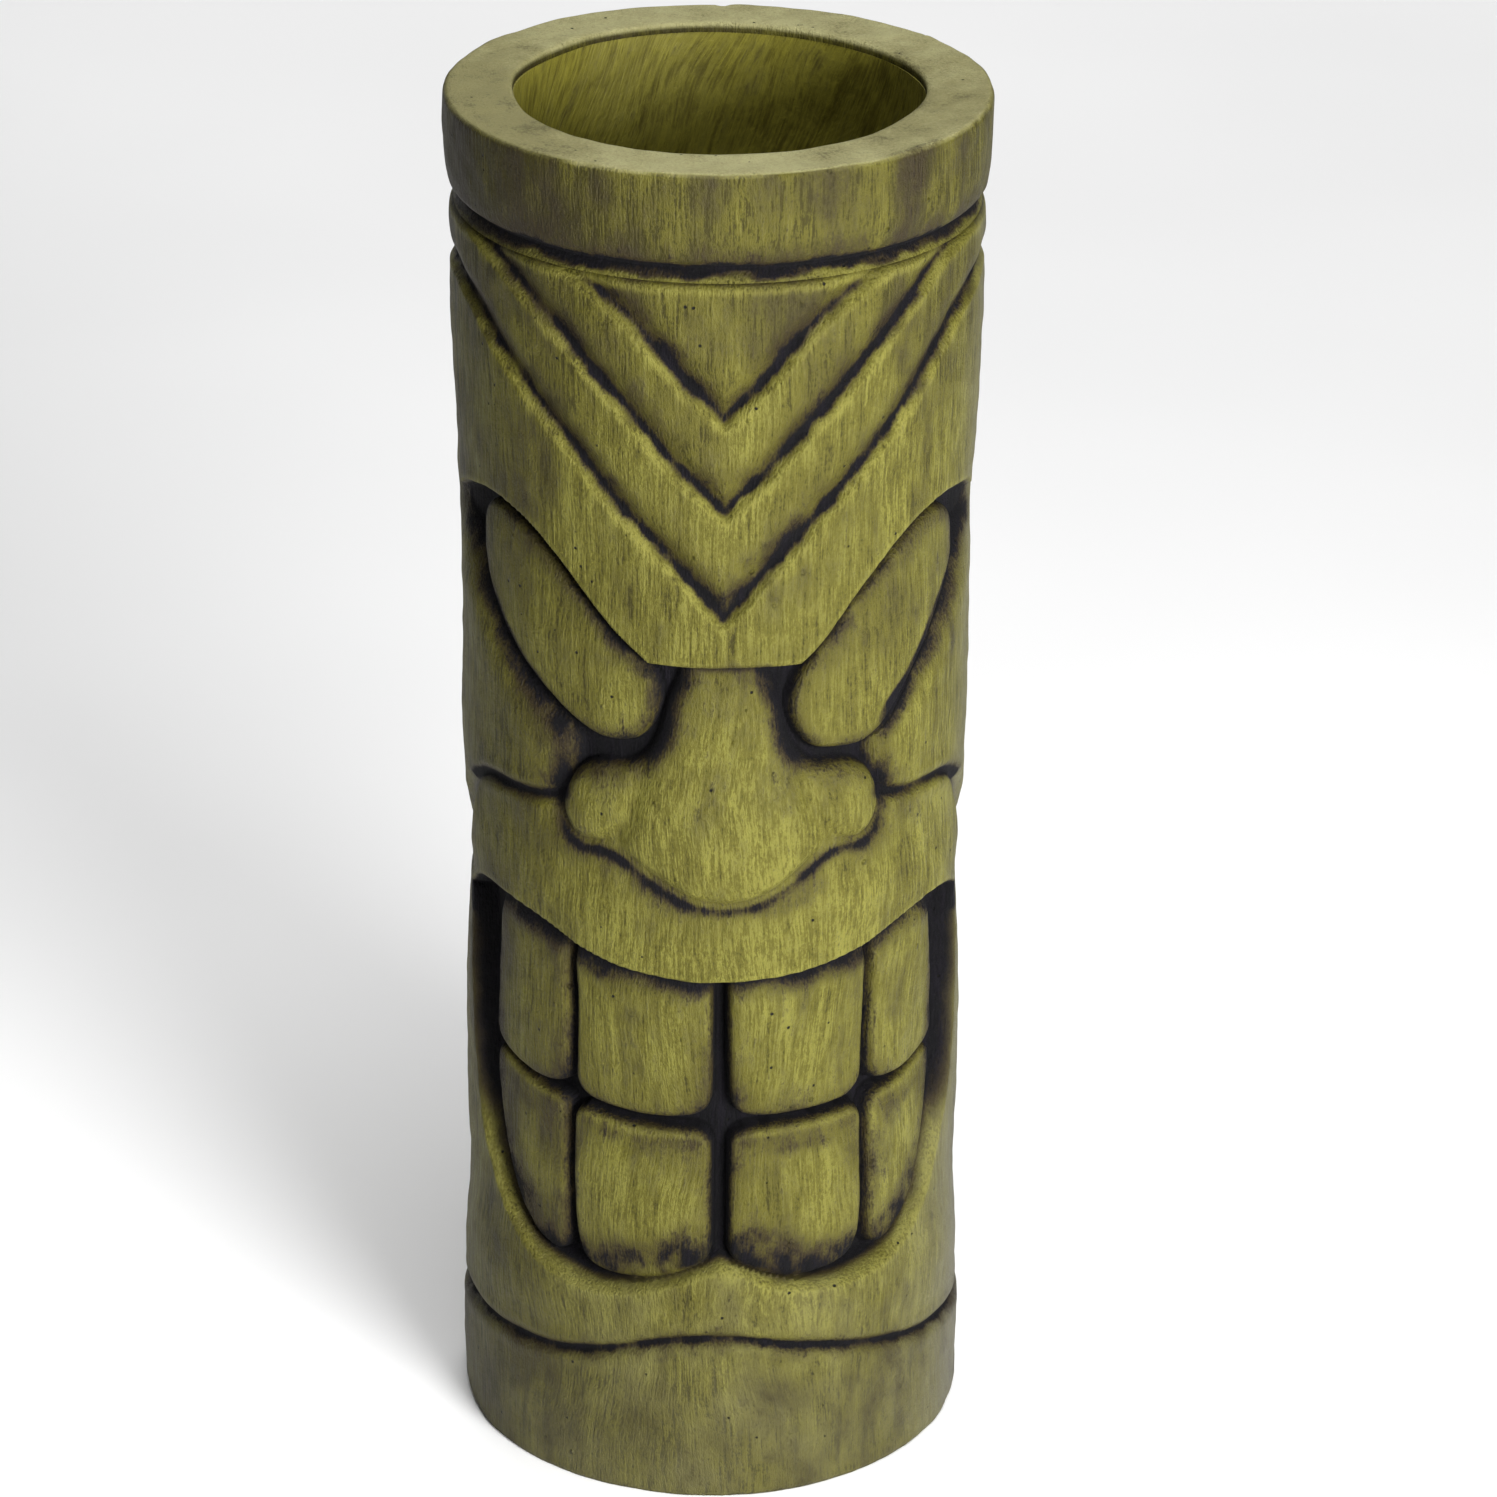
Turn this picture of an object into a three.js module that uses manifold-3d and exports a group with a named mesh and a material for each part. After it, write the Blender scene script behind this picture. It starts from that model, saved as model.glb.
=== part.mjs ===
// Oversize tiki mug: a hollow, free-standing display vessel with a carved face, built up from moulded resin
// pieces. Two carved half shells stand on the floor, a cast collar plugs into their top, and a straight liner
// stands on the base plate and reaches up under the collar's lip, so that the mug holds what is put in it.
//
// Millimetres. The origin is on the floor, on the mug's axis. +Z is up, and the face looks towards -Y.
// A place on the wall is written [angle, height]: degrees round the axis from the face's centre line, towards
// +X, and millimetres above the floor. A turned outline is written [radius, height].

import * as THREE from "three";
import { mergeVertices } from "three/addons/utils/BufferGeometryUtils.js";
import Module from "manifold-3d";

const wasm = await Module();
wasm.setup();

// ---- driving dimensions ------------------------------------------------------------------------------------

const HEIGHT = 760; // overall
const RIM_RADIUS = 142; // the widest point, on the collar
const MOUTH_RADIUS = 106.4; // the hole that things go into
const BODY_RADIUS = 135; // the plain wall beside the face
const FOREHEAD_RADIUS = 138.8; // the wall just under the collar
const FOOT_RADIUS = 138.6; // the plain band that stands on the floor

const GAP = 0.3; // between neighbouring pieces
const ROUND_SIDES = 60; // facets of a round wall
const OUTSIDE = 180; // a radius well outside the wall
const CLEAR = 400; // wider than the whole mug, for cutting blocks

const SHELL_TOP = 701; // upper edge of the half shells
const SHELL_BORE = 125; // inside of the plain wall
const BACKING_BORE = 113; // inside of the thicker wall behind the carving
const BACKING_HEIGHTS = [114, 578];
const BACKING_EDGE = -20; // the thicker wall stops short of the joint between the shells

const COLLAR_BOTTOM = 711; // lower edge of the collar's band
const COLLAR_FLOOR_RADIUS = 132.5; // floor of the groove between the band and the shells
const SPIGOT_RADIUS = 128.5; // the collar's plug, inside the shells
const SPIGOT_BORE = 122.5;
const SPIGOT_BOTTOM = 680;
const LIP_THICKNESS = 6;
const BAND_BORE = 134;

const LINER_WALL = 4;
const LINER_FLOOR_THICKNESS = 6;
const PLATE_THICKNESS = 12;
const CENTRING_RING = { bottom: 604, thickness: 12 };
const SEAM_STRIP = { thickness: 3, width: 26, heights: [60, 596] };
const CLEAT = { thickness: 13, width: 44, height: 30 };
const SCREW = { shank: 2.3, head: 4.6, length: 34, sides: 16, recess: 0.6 };
const CORNER_ANGLES = [45, 135, 225, 315];

// How far out each level of the carving stands, as a radius.
const SOCKET_FLOOR = 121;
const EYE_LEVEL = 131.5;
const MOUTH_FLOOR = 118;
const UPPER_TOOTH_LEVEL = 130;
const LOWER_TOOTH_LEVEL = 128;
const LIP_LEVEL = 137;
const GROOVE_DEPTH = 5;
const ROOT = 3; // how far a raised piece of carving reaches into the floor under it

const DEGREE = Math.PI / 180;

// ---- outlines of the carving's right half, which is mirrored for the left -------------------------------------

const CHEVRON_WIDTH = 11; // measured up the wall
const SIDE_RING = { height: 672, width: 8 }; // the lowest chevron goes on round the back as a level ring
const CHEVRONS = [
  { apex: 630, end: [36, 714] },
  { apex: 577, end: [62, 706] },
  { apex: 522, end: [70, SIDE_RING.height] },
];
const SOCKET = [
  [0, 493], [16.5, 493], [28, 520], [38, 541], [48, 554], [57, 561], [64, 561], [70, 555], [67, 535],
  [63.5, 512], [57, 492], [49.5, 474], [42, 460], [36.5, 447], [36.5, 436], [38.5, 424], [38.5, 410], [27, 395],
  [0, 395],
];
const EYE = [
  [60, 549], [61.5, 530], [57, 508], [51, 490], [45, 475], [38, 460], [30, 451], [22, 449.5], [17, 455],
  [15, 465], [15.5, 478], [18, 488], [26.5, 510], [36, 531], [45, 546], [53, 554],
];
const NOSE = [
  [0, 355], [8, 358], [14, 366], [19, 375], [24, 383], [28, 385.5], [32, 384.5], [36, 390], [37.5, 403],
  [36, 418], [31, 429], [25, 431.5], [20, 426], [16, 434], [12.5, 450], [11, 470], [11, 494], [0, 494],
];
const NOSE_SIDE = [[0, 355], [140, 355], [141.5, 372], [141, 392], [137, 430], [132.5, 494], [0, 494]];
const CHEEK_LINE = { width: 6, points: [[36.5, 412], [42, 405], [50, 401.5], [58, 399.5], [66, 394], [75, 382]] };
const UPPER_LIP = [
  [0, 311], [10, 312.5], [20, 316], [30, 321], [40, 328], [48, 333], [55, 336], [62, 335], [70, 329],
  [77, 319], [78, 326], [73, 345], [68, 365], [64, 383], [57, 396], [48, 398], [40, 401], [34, 402], [0, 402],
];
const MOUTH = [
  [0, 140], [5, 138], [10, 131.5], [20, 126], [30, 123.5], [40, 126], [48, 132], [56, 146], [62, 165],
  [66, 195], [69, 230], [72, 260], [75.5, 300], [76, 320], [66, 330], [0, 330],
];
const UPPER_TEETH = [
  [[2.4, 326], [2.4, 236], [5, 230.5], [12, 228.5], [22, 228.5], [31, 231], [35.5, 236], [36.5, 245], [36.5, 326]],
  [[38.6, 326], [38.6, 239], [42, 235.5], [50, 235], [58, 238], [61.5, 244], [62.8, 255], [60.5, 326]],
];
const LOWER_TEETH = [
  [[2.4, 148], [2.4, 216], [5, 221], [12, 222.5], [22, 222.5], [31, 225], [36.5, 226], [36.8, 150], [34, 138],
    [27, 132], [15, 134], [6, 141]],
  [[39.2, 226], [50, 229], [58, 232], [62, 234], [63, 225], [62, 200], [59, 175], [54, 155], [48, 143], [42, 137],
    [39.2, 142]],
];
const FOOT_LINE = {
  width: 6,
  points: [[0, 97], [8, 95.5], [18, 90], [28, 83.5], [38, 76.5], [48, 71], [58, 68], [72, 65], [90, 64]],
};

// The plain wall from the floor up.
const BODY_SIDE = [
  [FOOT_RADIUS, 0], [FOOT_RADIUS, 62], [137, 66], [136.8, 95], [134.2, 140], [BODY_RADIUS, 175],
  [BODY_RADIUS, 255], [131.4, 325], [134.2, 368], [BODY_RADIUS, 410], [BODY_RADIUS, 535], [137.6, 600],
  [138.4, 650], [FOREHEAD_RADIUS, SHELL_TOP],
];

// ---- three.js geometry to solid and back ---------------------------------------------------------------------

function solidOf(geometry) {
  const plain = geometry.index ? geometry.toNonIndexed() : geometry;
  plain.deleteAttribute("normal");
  plain.deleteAttribute("uv");
  const merged = mergeVertices(plain, 1e-4);
  const index = merged.index.array;
  const corners = [];
  for (let i = 0; i < index.length; i += 3) {
    const [a, b, c] = index.slice(i, i + 3);
    const isTriangle = a !== b && b !== c && c !== a;
    if (isTriangle) {
      corners.push(a, b, c);
    }
  }
  const vertProperties = new Float32Array(merged.attributes.position.array);
  return new wasm.Manifold(new wasm.Mesh({ numProp: 3, vertProperties, triVerts: new Uint32Array(corners) }));
}

function geometryOf(solid) {
  const mesh = solid.getMesh();
  const geometry = new THREE.BufferGeometry();
  geometry.setAttribute("position", new THREE.BufferAttribute(mesh.vertProperties, 3));
  geometry.setIndex(new THREE.BufferAttribute(mesh.triVerts, 1));
  geometry.computeVertexNormals();
  return geometry;
}

// A round solid about Z from [radius, height] points, anticlockwise.
function turned(profile, sides = ROUND_SIDES) {
  const points = [...profile, profile[0]].map(([r, z]) => new THREE.Vector2(r, z));
  return solidOf(new THREE.LatheGeometry(points, sides).rotateX(Math.PI / 2));
}

// The space between two radii and between two heights.
function ring(inner, outer, bottom, top, sides = ROUND_SIDES) {
  return turned([[inner, bottom], [outer, bottom], [outer, top], [inner, top]], sides);
}

// A block from one corner to the other.
function block([x0, y0, z0], [x1, y1, z1]) {
  const box = new THREE.BoxGeometry(x1 - x0, y1 - y0, z1 - z0);
  return solidOf(box.translate((x0 + x1) / 2, (y0 + y1) / 2, (z0 + z1) / 2));
}

// A wall outline carried outwards from near the axis to outside the mug, with sides that point at the axis.
function radialPrism(outline) {
  const points = outline.map(([angle, z]) => new THREE.Vector2(angle, z));
  const near = 60;
  const far = 200;
  const geometry = new THREE.ExtrudeGeometry(new THREE.Shape(points), { depth: far - near, bevelEnabled: false });
  const position = geometry.attributes.position;
  for (let i = 0; i < position.count; i++) {
    const angle = position.getX(i) * DEGREE;
    const radius = near + position.getZ(i);
    position.setXYZ(i, radius * Math.sin(angle), -radius * Math.cos(angle), position.getY(i));
  }
  return solidOf(geometry);
}

// An outline and its mirror image as one solid, between two radii.
function carving(outline, inner, outer) {
  const left = outline.map(([angle, z]) => [-angle, z]);
  return radialPrism(outline).add(radialPrism(left)).intersect(ring(inner, outer, -1, HEIGHT));
}

// A strip of even width along a line of wall points.
function strip(line, width) {
  const lower = line.map(([angle, z]) => [angle, z - width / 2]);
  const upper = line.map(([angle, z]) => [angle, z + width / 2]);
  return [...lower, ...upper.reverse()];
}

// ---- the carved body, before it is hollowed and split ----------------------------------------------------------

// A chevron runs straight as seen from the front, so its height follows the sine of its angle.
function chevronLine({ apex, end: [endAngle, endHeight] }) {
  const steps = 7;
  return Array.from({ length: steps + 1 }, (_, i) => {
    const angle = (endAngle * i) / steps;
    const share = Math.sin(angle * DEGREE) / Math.sin(endAngle * DEGREE);
    return [angle, apex + share * (endHeight - apex)];
  });
}

// A level groove round the mug behind the given Y.
function backGroove(height, width, front) {
  const band = ring(BACKING_BORE, OUTSIDE, height - width / 2, height + width / 2);
  return band.intersect(block([-CLEAR, front, 0], [CLEAR, CLEAR, HEIGHT]));
}

function carvedBody() {
  const sideRingFront = -FOREHEAD_RADIUS * Math.cos(CHEVRONS.at(-1).end[0] * DEGREE);
  const foot = [...FOOT_LINE.points, [90, 30], [0, 30]];
  const grooves = [
    ...CHEVRONS.map((chevron) => carving(strip(chevronLine(chevron), CHEVRON_WIDTH), BACKING_BORE, OUTSIDE)),
    ...[CHEEK_LINE, FOOT_LINE].map(({ points, width }) => carving(strip(points, width), BACKING_BORE, OUTSIDE)),
    backGroove(SIDE_RING.height, SIDE_RING.width, sideRingFront),
    backGroove(FOOT_LINE.points.at(-1)[1], FOOT_LINE.width, 0),
  ];
  const underGrooves = turned([
    [0, -1], ...BODY_SIDE.map(([radius, height]) => [radius - GROOVE_DEPTH, height]), [0, SHELL_TOP + 1],
  ]);
  let body = turned([[0, 0], ...BODY_SIDE, [0, SHELL_TOP]]);
  body = body.add(carving(foot, BACKING_BORE, FOOT_RADIUS));
  for (const groove of grooves) {
    body = body.subtract(groove.subtract(underGrooves));
  }
  body = body.subtract(carving(SOCKET, SOCKET_FLOOR, OUTSIDE));
  body = body.subtract(carving(MOUTH, MOUTH_FLOOR, OUTSIDE));
  body = body.add(carving(EYE, SOCKET_FLOOR - ROOT, EYE_LEVEL));
  for (const tooth of UPPER_TEETH) {
    body = body.add(carving(tooth, MOUTH_FLOOR - ROOT, UPPER_TOOTH_LEVEL));
  }
  for (const tooth of LOWER_TEETH) {
    body = body.add(carving(tooth, MOUTH_FLOOR - ROOT, LOWER_TOOTH_LEVEL));
  }
  body = body.add(carving(UPPER_LIP, MOUTH_FLOOR - ROOT, LIP_LEVEL));
  return body.add(carving(NOSE, SOCKET_FLOOR - ROOT, OUTSIDE).intersect(turned(NOSE_SIDE)));
}

// The space inside the shells: a plain bore, a wider rebate at the top for the collar's plug, and the thicker
// wall left standing behind the carving.
function shellHollow() {
  const rebate = SPIGOT_BOTTOM - GAP;
  const bore = turned([
    [0, -1], [SHELL_BORE, -1], [SHELL_BORE, rebate], [SPIGOT_RADIUS + GAP, rebate],
    [SPIGOT_RADIUS + GAP, SHELL_TOP + 1], [0, SHELL_TOP + 1],
  ]);
  const [bottom, top] = BACKING_HEIGHTS;
  const front = block([-CLEAR, -CLEAR, bottom], [CLEAR, BACKING_EDGE, top]);
  return bore.subtract(ring(BACKING_BORE, SPIGOT_RADIUS, bottom, top).intersect(front));
}

// ---- the other pieces ------------------------------------------------------------------------------------------

function collar() {
  const shoulder = SHELL_TOP + GAP;
  const lipUnderside = HEIGHT - LIP_THICKNESS;
  return turned([
    [SPIGOT_BORE, SPIGOT_BOTTOM], [SPIGOT_RADIUS, SPIGOT_BOTTOM], [SPIGOT_RADIUS, shoulder],
    [COLLAR_FLOOR_RADIUS, shoulder], [COLLAR_FLOOR_RADIUS, COLLAR_BOTTOM], [RIM_RADIUS - 2.8, COLLAR_BOTTOM],
    [RIM_RADIUS, COLLAR_BOTTOM + 28], [RIM_RADIUS, HEIGHT - 3], [RIM_RADIUS - 1.2, HEIGHT], [MOUTH_RADIUS, HEIGHT],
    [MOUTH_RADIUS, lipUnderside], [BAND_BORE, lipUnderside], [BAND_BORE, COLLAR_BOTTOM + 10],
    [SPIGOT_BORE, COLLAR_BOTTOM - 4],
  ]);
}

function liner() {
  const bottom = PLATE_THICKNESS + GAP;
  const top = HEIGHT - LIP_THICKNESS - GAP;
  return ring(MOUTH_RADIUS, MOUTH_RADIUS + LINER_WALL, bottom, top);
}

function linerFloor() {
  const bottom = PLATE_THICKNESS + GAP;
  const radius = MOUTH_RADIUS - GAP;
  return turned([[0, bottom], [radius, bottom], [radius, bottom + LINER_FLOOR_THICKNESS],
    [0, bottom + LINER_FLOOR_THICKNESS]]);
}

function centringRing() {
  const { bottom, thickness } = CENTRING_RING;
  return ring(MOUTH_RADIUS + LINER_WALL + GAP, SHELL_BORE - GAP, bottom, bottom + thickness);
}

// A strap across the inside of the joint between the shells, on the +X side.
function seamStrip() {
  const { thickness, width, heights } = SEAM_STRIP;
  const outer = SHELL_BORE - GAP;
  const reach = block([0, -width / 2, heights[0]], [CLEAR, width / 2, heights[1]]);
  return ring(outer - thickness, outer, ...heights).intersect(reach);
}

const cornerRadius = SHELL_BORE - GAP - CLEAT.thickness / 2;

// A countersunk screw, standing with its head down; the same outline with a margin makes its hole.
function screwSolid(margin) {
  const { shank, head, length, sides, recess } = SCREW;
  const bottom = margin ? -1 : recess;
  return turned([
    [0, bottom], [head + margin, bottom], [head + margin, recess + 1], [shank + margin, recess + 4],
    [shank + margin, length + margin], [0, length + margin],
  ], sides).translate([0, -cornerRadius, 0]);
}

function cleat() {
  const { thickness, width, height } = CLEAT;
  const outer = SHELL_BORE - GAP;
  const bottom = PLATE_THICKNESS + GAP;
  const reach = block([-width / 2, -CLEAR, bottom], [width / 2, 0, bottom + height]);
  const body = ring(outer - thickness, outer, bottom, bottom + height).intersect(reach);
  return body.subtract(screwSolid(GAP));
}

function basePlate() {
  const radius = SHELL_BORE - GAP;
  let plate = turned([[0, 0], [radius, 0], [radius, PLATE_THICKNESS], [0, PLATE_THICKNESS]]);
  for (const angle of CORNER_ANGLES) {
    plate = plate.subtract(screwSolid(GAP).rotate([0, 0, angle]));
  }
  return plate;
}

// ---- materials and the assembly --------------------------------------------------------------------------------

const finish = (color, roughness, metalness = 0) => new THREE.MeshStandardMaterial({ color, roughness, metalness });
const painted = finish(0x7d7a36, 0.5);
const linerPaint = finish(0x66642f, 0.7);
const plywood = finish(0xb08a58, 0.8);
const laminate = finish(0x9a9a80, 0.6);
const softwood = finish(0xc2a06c, 0.8);
const zinc = finish(0xa8adb0, 0.35, 1);

const mug = new THREE.Group();

function place(name, solid, material) {
  const mesh = new THREE.Mesh(geometryOf(solid), material);
  mesh.name = name;
  mug.add(mesh);
  return mesh;
}

const shells = carvedBody().subtract(shellHollow());
const frontHalf = block([-CLEAR, -CLEAR, -1], [CLEAR, -GAP / 2, HEIGHT]);
const backHalf = block([-CLEAR, GAP / 2, -1], [CLEAR, CLEAR, HEIGHT]);

place("front_shell", shells.intersect(frontHalf), painted);
place("back_shell", shells.intersect(backHalf), painted);
place("rim_collar", collar(), painted);
place("liner_tube", liner(), linerPaint);
place("liner_floor", linerFloor(), linerPaint);
place("base_plate", basePlate(), plywood);
place("centring_ring", centringRing(), plywood);
place("seam_strip_right", seamStrip(), laminate);
place("seam_strip_left", seamStrip(), laminate).rotation.z = Math.PI;

CORNER_ANGLES.forEach((angle, i) => {
  place(`base_cleat_${i + 1}`, cleat(), softwood).rotation.z = angle * DEGREE;
  place(`base_screw_${i + 1}`, screwSolid(0), zinc).rotation.z = angle * DEGREE;
});

export default mug;
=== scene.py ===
"""Looks of the oversize tiki mug: carved resin shells with brushed olive paint and a dark antique wash.

Sizes are in millimetres until a mesh is made. A place on the wall is (angle, height): degrees round the axis
from the face's centre line towards +X, and millimetres above the floor. A radius is measured from the axis.
"""

import math

import bpy
import numpy as np
from mathutils import Matrix, Vector


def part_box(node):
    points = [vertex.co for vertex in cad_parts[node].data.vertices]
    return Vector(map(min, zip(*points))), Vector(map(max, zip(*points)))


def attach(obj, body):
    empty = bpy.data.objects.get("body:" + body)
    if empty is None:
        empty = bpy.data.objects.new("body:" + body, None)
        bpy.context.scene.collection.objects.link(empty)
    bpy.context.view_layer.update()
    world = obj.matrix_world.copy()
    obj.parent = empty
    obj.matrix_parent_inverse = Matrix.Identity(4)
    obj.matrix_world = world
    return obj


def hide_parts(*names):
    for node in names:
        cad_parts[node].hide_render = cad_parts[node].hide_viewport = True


MM = 0.001

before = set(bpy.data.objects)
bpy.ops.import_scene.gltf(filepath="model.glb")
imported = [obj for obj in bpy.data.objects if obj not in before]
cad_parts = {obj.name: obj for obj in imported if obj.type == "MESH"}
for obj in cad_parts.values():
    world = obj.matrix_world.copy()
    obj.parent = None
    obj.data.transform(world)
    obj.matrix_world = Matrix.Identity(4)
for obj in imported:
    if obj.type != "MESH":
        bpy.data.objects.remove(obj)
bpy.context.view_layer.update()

# ---- sizes taken from the frame ----


def span(node):
    """A node's lowest and highest corners in millimetres."""
    low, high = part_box(node)
    return [v / MM for v in low], [v / MM for v in high]


collar_low, collar_high = span("rim_collar")
liner_low, liner_high = span("liner_tube")
floor_low, floor_high = span("liner_floor")

HEIGHT = collar_high[2]
SHELL_TOP = span("front_shell")[1][2]
LINER_OUTER = liner_high[0]
LINER_WALL = 4.0
MOUTH_RADIUS = LINER_OUTER - LINER_WALL
SPIGOT_BOTTOM = collar_low[2]
SPIGOT_RADIUS = 128.5
SPIGOT_BORE = 122.5
GAP = 0.3  # between neighbouring pieces
SHELL_BORE = 125.0
BACKING_BORE = 113.0
BACKING_HEIGHTS = (114.0, 578.0)
BACKING_ANGLE = 83.0

PAINT_RADIUS = 135.0
ARC = PAINT_RADIUS * math.pi / 180  # millimetres of wall in one degree

# ---- small mathematics ----


def ramp(low, high, value):
    """Eases from 0 at low to 1 at high."""
    t = np.clip((value - low) / (high - low), 0.0, 1.0)
    return t * t * (3.0 - 2.0 * t)


def smooth_max(a, b, blend):
    """The larger of two, with the corner between them rounded."""
    h = np.clip(0.5 + 0.5 * (a - b) / blend, 0.0, 1.0)
    return b + (a - b) * h + blend * h * (1.0 - h)


def hump(value, centre, width):
    """1 at a centre, and falling to nothing within about twice a width."""
    return np.exp(-(((value - centre) / width) ** 2))


def lift(field, level):
    """Raises a grid, in place, to at least a level."""
    np.maximum(field, level, out=field)


def blurred(field, sigma_rows, sigma_columns):
    """A Gaussian blur of a grid, with its edge values carried outwards."""
    for axis, sigma in ((0, sigma_rows), (1, sigma_columns)):
        reach = max(1, int(3 * sigma))
        steps = np.arange(-reach, reach + 1)
        kernel = np.exp(-0.5 * (steps / sigma) ** 2)
        kernel /= kernel.sum()
        pad = [(0, 0), (0, 0)]
        pad[axis] = (reach, reach)
        padded = np.pad(field, pad, mode="edge")
        total = np.zeros_like(field)
        for i, weight in enumerate(kernel):
            total += weight * np.take(padded, np.arange(i, i + field.shape[axis]), axis=axis)
        field = total
    return field


def flat_lumps(x, y, wavelength, seed):
    """Smooth random unevenness between about -1 and 1, as a sum of waves in many directions."""
    rng = np.random.default_rng(seed)
    waves = 14
    total = np.zeros(np.broadcast(x, y).shape)
    for _ in range(waves):
        heading = rng.uniform(0, 2 * math.pi)
        pitch = 2 * math.pi / (wavelength * rng.uniform(0.6, 1.8))
        phase = rng.uniform(0, 2 * math.pi)
        total += np.sin(pitch * (x * math.cos(heading) + y * math.sin(heading)) + phase)
    return total / math.sqrt(waves)


def lumps(angle, height, wavelength, seed):
    """The same kind of unevenness over the wall, without a seam at the back."""
    rng = np.random.default_rng(seed)
    turn = np.radians(angle)
    x, y = PAINT_RADIUS * np.sin(turn), PAINT_RADIUS * np.cos(turn)
    waves = 18
    total = np.zeros(np.broadcast(angle, height).shape)
    for _ in range(waves):
        heading = rng.normal(size=3)
        heading /= np.linalg.norm(heading)
        pitch = 2 * math.pi / (wavelength * rng.uniform(0.6, 1.6))
        along_wave = x * heading[0] + y * heading[1] + height * heading[2]
        total += np.sin(pitch * along_wave + rng.uniform(0, 2 * math.pi))
    return total / math.sqrt(waves)


# ---- lines and outlines on the wall ----


REACH = 40.0  # no distance is measured beyond this


def curved(points, closed=False, spacing=2.5):
    """A smooth line through (angle, height) points, as an array of (arc, height) in millimetres."""
    knots = np.array([(angle * ARC, height) for angle, height in points])
    count = len(knots)
    pieces = []
    for i in range(count if closed else count - 1):
        p0, p1, p2, p3 = knots.take(range(i - 1, i + 3), axis=0, mode="wrap" if closed else "clip")
        steps = max(1, int(np.hypot(*(p2 - p1)) / spacing))
        t = (np.arange(steps) / steps)[:, None]
        bend = 2 * p1 + (p2 - p0) * t + (2 * p0 - 5 * p1 + 4 * p2 - p3) * t**2
        pieces.append(0.5 * (bend + (3 * p1 - p0 - 3 * p2 + p3) * t**3))
    if not closed:
        pieces.append(knots[-1:])
    return np.vstack(pieces)


def both_sides(half, first=0):
    """A right half, then its mirror image run backwards from a first point."""
    mirrored = half * np.array([-1.0, 1.0])
    return np.vstack([half, mirrored[::-1][first:]])


def distance(line, arc, height, closed=False):
    """The distance from each place to a line, up to a reach."""
    found = np.full(arc.shape, REACH)
    low = line.min(axis=0) - REACH
    high = line.max(axis=0) + REACH
    near = (arc > low[0]) & (arc < high[0]) & (height > low[1]) & (height < high[1])
    x, y = arc[near], height[near]
    best = np.full(x.shape, REACH * REACH)
    ends = np.roll(line, -1, axis=0) if closed else line[1:]
    for (ax, ay), (bx, by) in zip(line, ends):
        dx, dy = bx - ax, by - ay
        length = dx * dx + dy * dy
        if length < 1e-9:
            continue
        t = np.clip(((x - ax) * dx + (y - ay) * dy) / length, 0.0, 1.0)
        best = np.minimum(best, (x - ax - t * dx) ** 2 + (y - ay - t * dy) ** 2)
    found[near] = np.sqrt(best)
    return found


def depth_inside(outline, arc, height):
    """How far each place lies inside a closed outline; negative outside it."""
    gap = distance(outline, arc, height, closed=True)
    inside = np.zeros(arc.shape, bool)
    for (ax, ay), (bx, by) in zip(outline, np.roll(outline, -1, axis=0)):
        if ay == by:
            continue
        crosses = (ay > height) != (by > height)
        inside ^= crosses & (arc < (bx - ax) * (height - ay) / (by - ay) + ax)
    return np.where(inside, gap, -gap)


def shoulder(depth, width, power=2.0):
    """Rises from 0 at an edge to 1 a width inside it, rounded like the edge of a pillow."""
    t = np.clip(depth / width, 0.0, 1.0)
    return (1.0 - (1.0 - t) ** power) ** (1.0 / power)


# ---- the carving's outlines ----

CHEVRONS = [
    [
        (0, 629), (9, 651), (18, 674.5), (27, 691), (36, 701.5), (44, 708),
    ],
    [
        (0, 577), (10, 602), (20, 628), (30, 651), (40, 672), (50, 690), (58, 699.5), (68, 706),
    ],
    [
        (0, 521), (10, 547), (20, 571), (30, 595), (40, 618), (50, 641), (60, 661), (66, 667.5), (74, 672),
        (84, 673.5), (100, 673), (180, 672),
    ],
]
BROW_EDGE = [
    (16.8, 493), (20, 499.5), (24, 508.5), (30, 524), (36, 538), (42, 549), (48, 557), (55, 562.3),
    (61, 563.5), (67, 561.5), (74, 557), (81, 549),
]
SOCKET_OUTER = [
    (81, 549), (82.5, 541), (80, 534), (75, 530), (71, 522), (67.2, 512.5), (62.5, 502), (58.3, 491.5),
    (54, 480.5), (49.5, 469), (45, 459.5), (41, 451.5), (38, 445), (36.7, 438), (36.8, 429), (38, 419),
    (39, 409),
]
SOCKET_INNER = [
    (39, 409), (34, 400), (20, 398), (0, 398),
]
LEFT_EYE = [
    (-66.5, 553.5), (-69, 545), (-69.2, 532), (-67.8, 519), (-64.6, 503.5), (-59.2, 489.5), (-53.4, 477),
    (-47.6, 466.8), (-42.3, 459), (-36.4, 451.3), (-30.2, 445.6), (-25, 445), (-19.8, 448.2), (-16.6, 457),
    (-14.8, 470), (-15.6, 484), (-19.2, 494.5), (-24.5, 506), (-31, 520), (-38, 533), (-46, 546),
    (-54, 554), (-61, 556.5),
]
RIGHT_EYE = [
    (63.5, 552), (67.3, 544), (68.2, 529), (66.4, 514), (61, 496.5), (55, 480.5), (49.4, 466.5),
    (43.8, 452), (38.8, 443), (34, 438.8), (28.3, 439.2), (22.2, 441.8), (18.4, 448.8), (15.8, 460),
    (15.2, 471), (17.6, 484.5), (22, 497), (28, 511.5), (35, 527), (43, 541.5), (51, 551.5), (57.5, 555),
]
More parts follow.
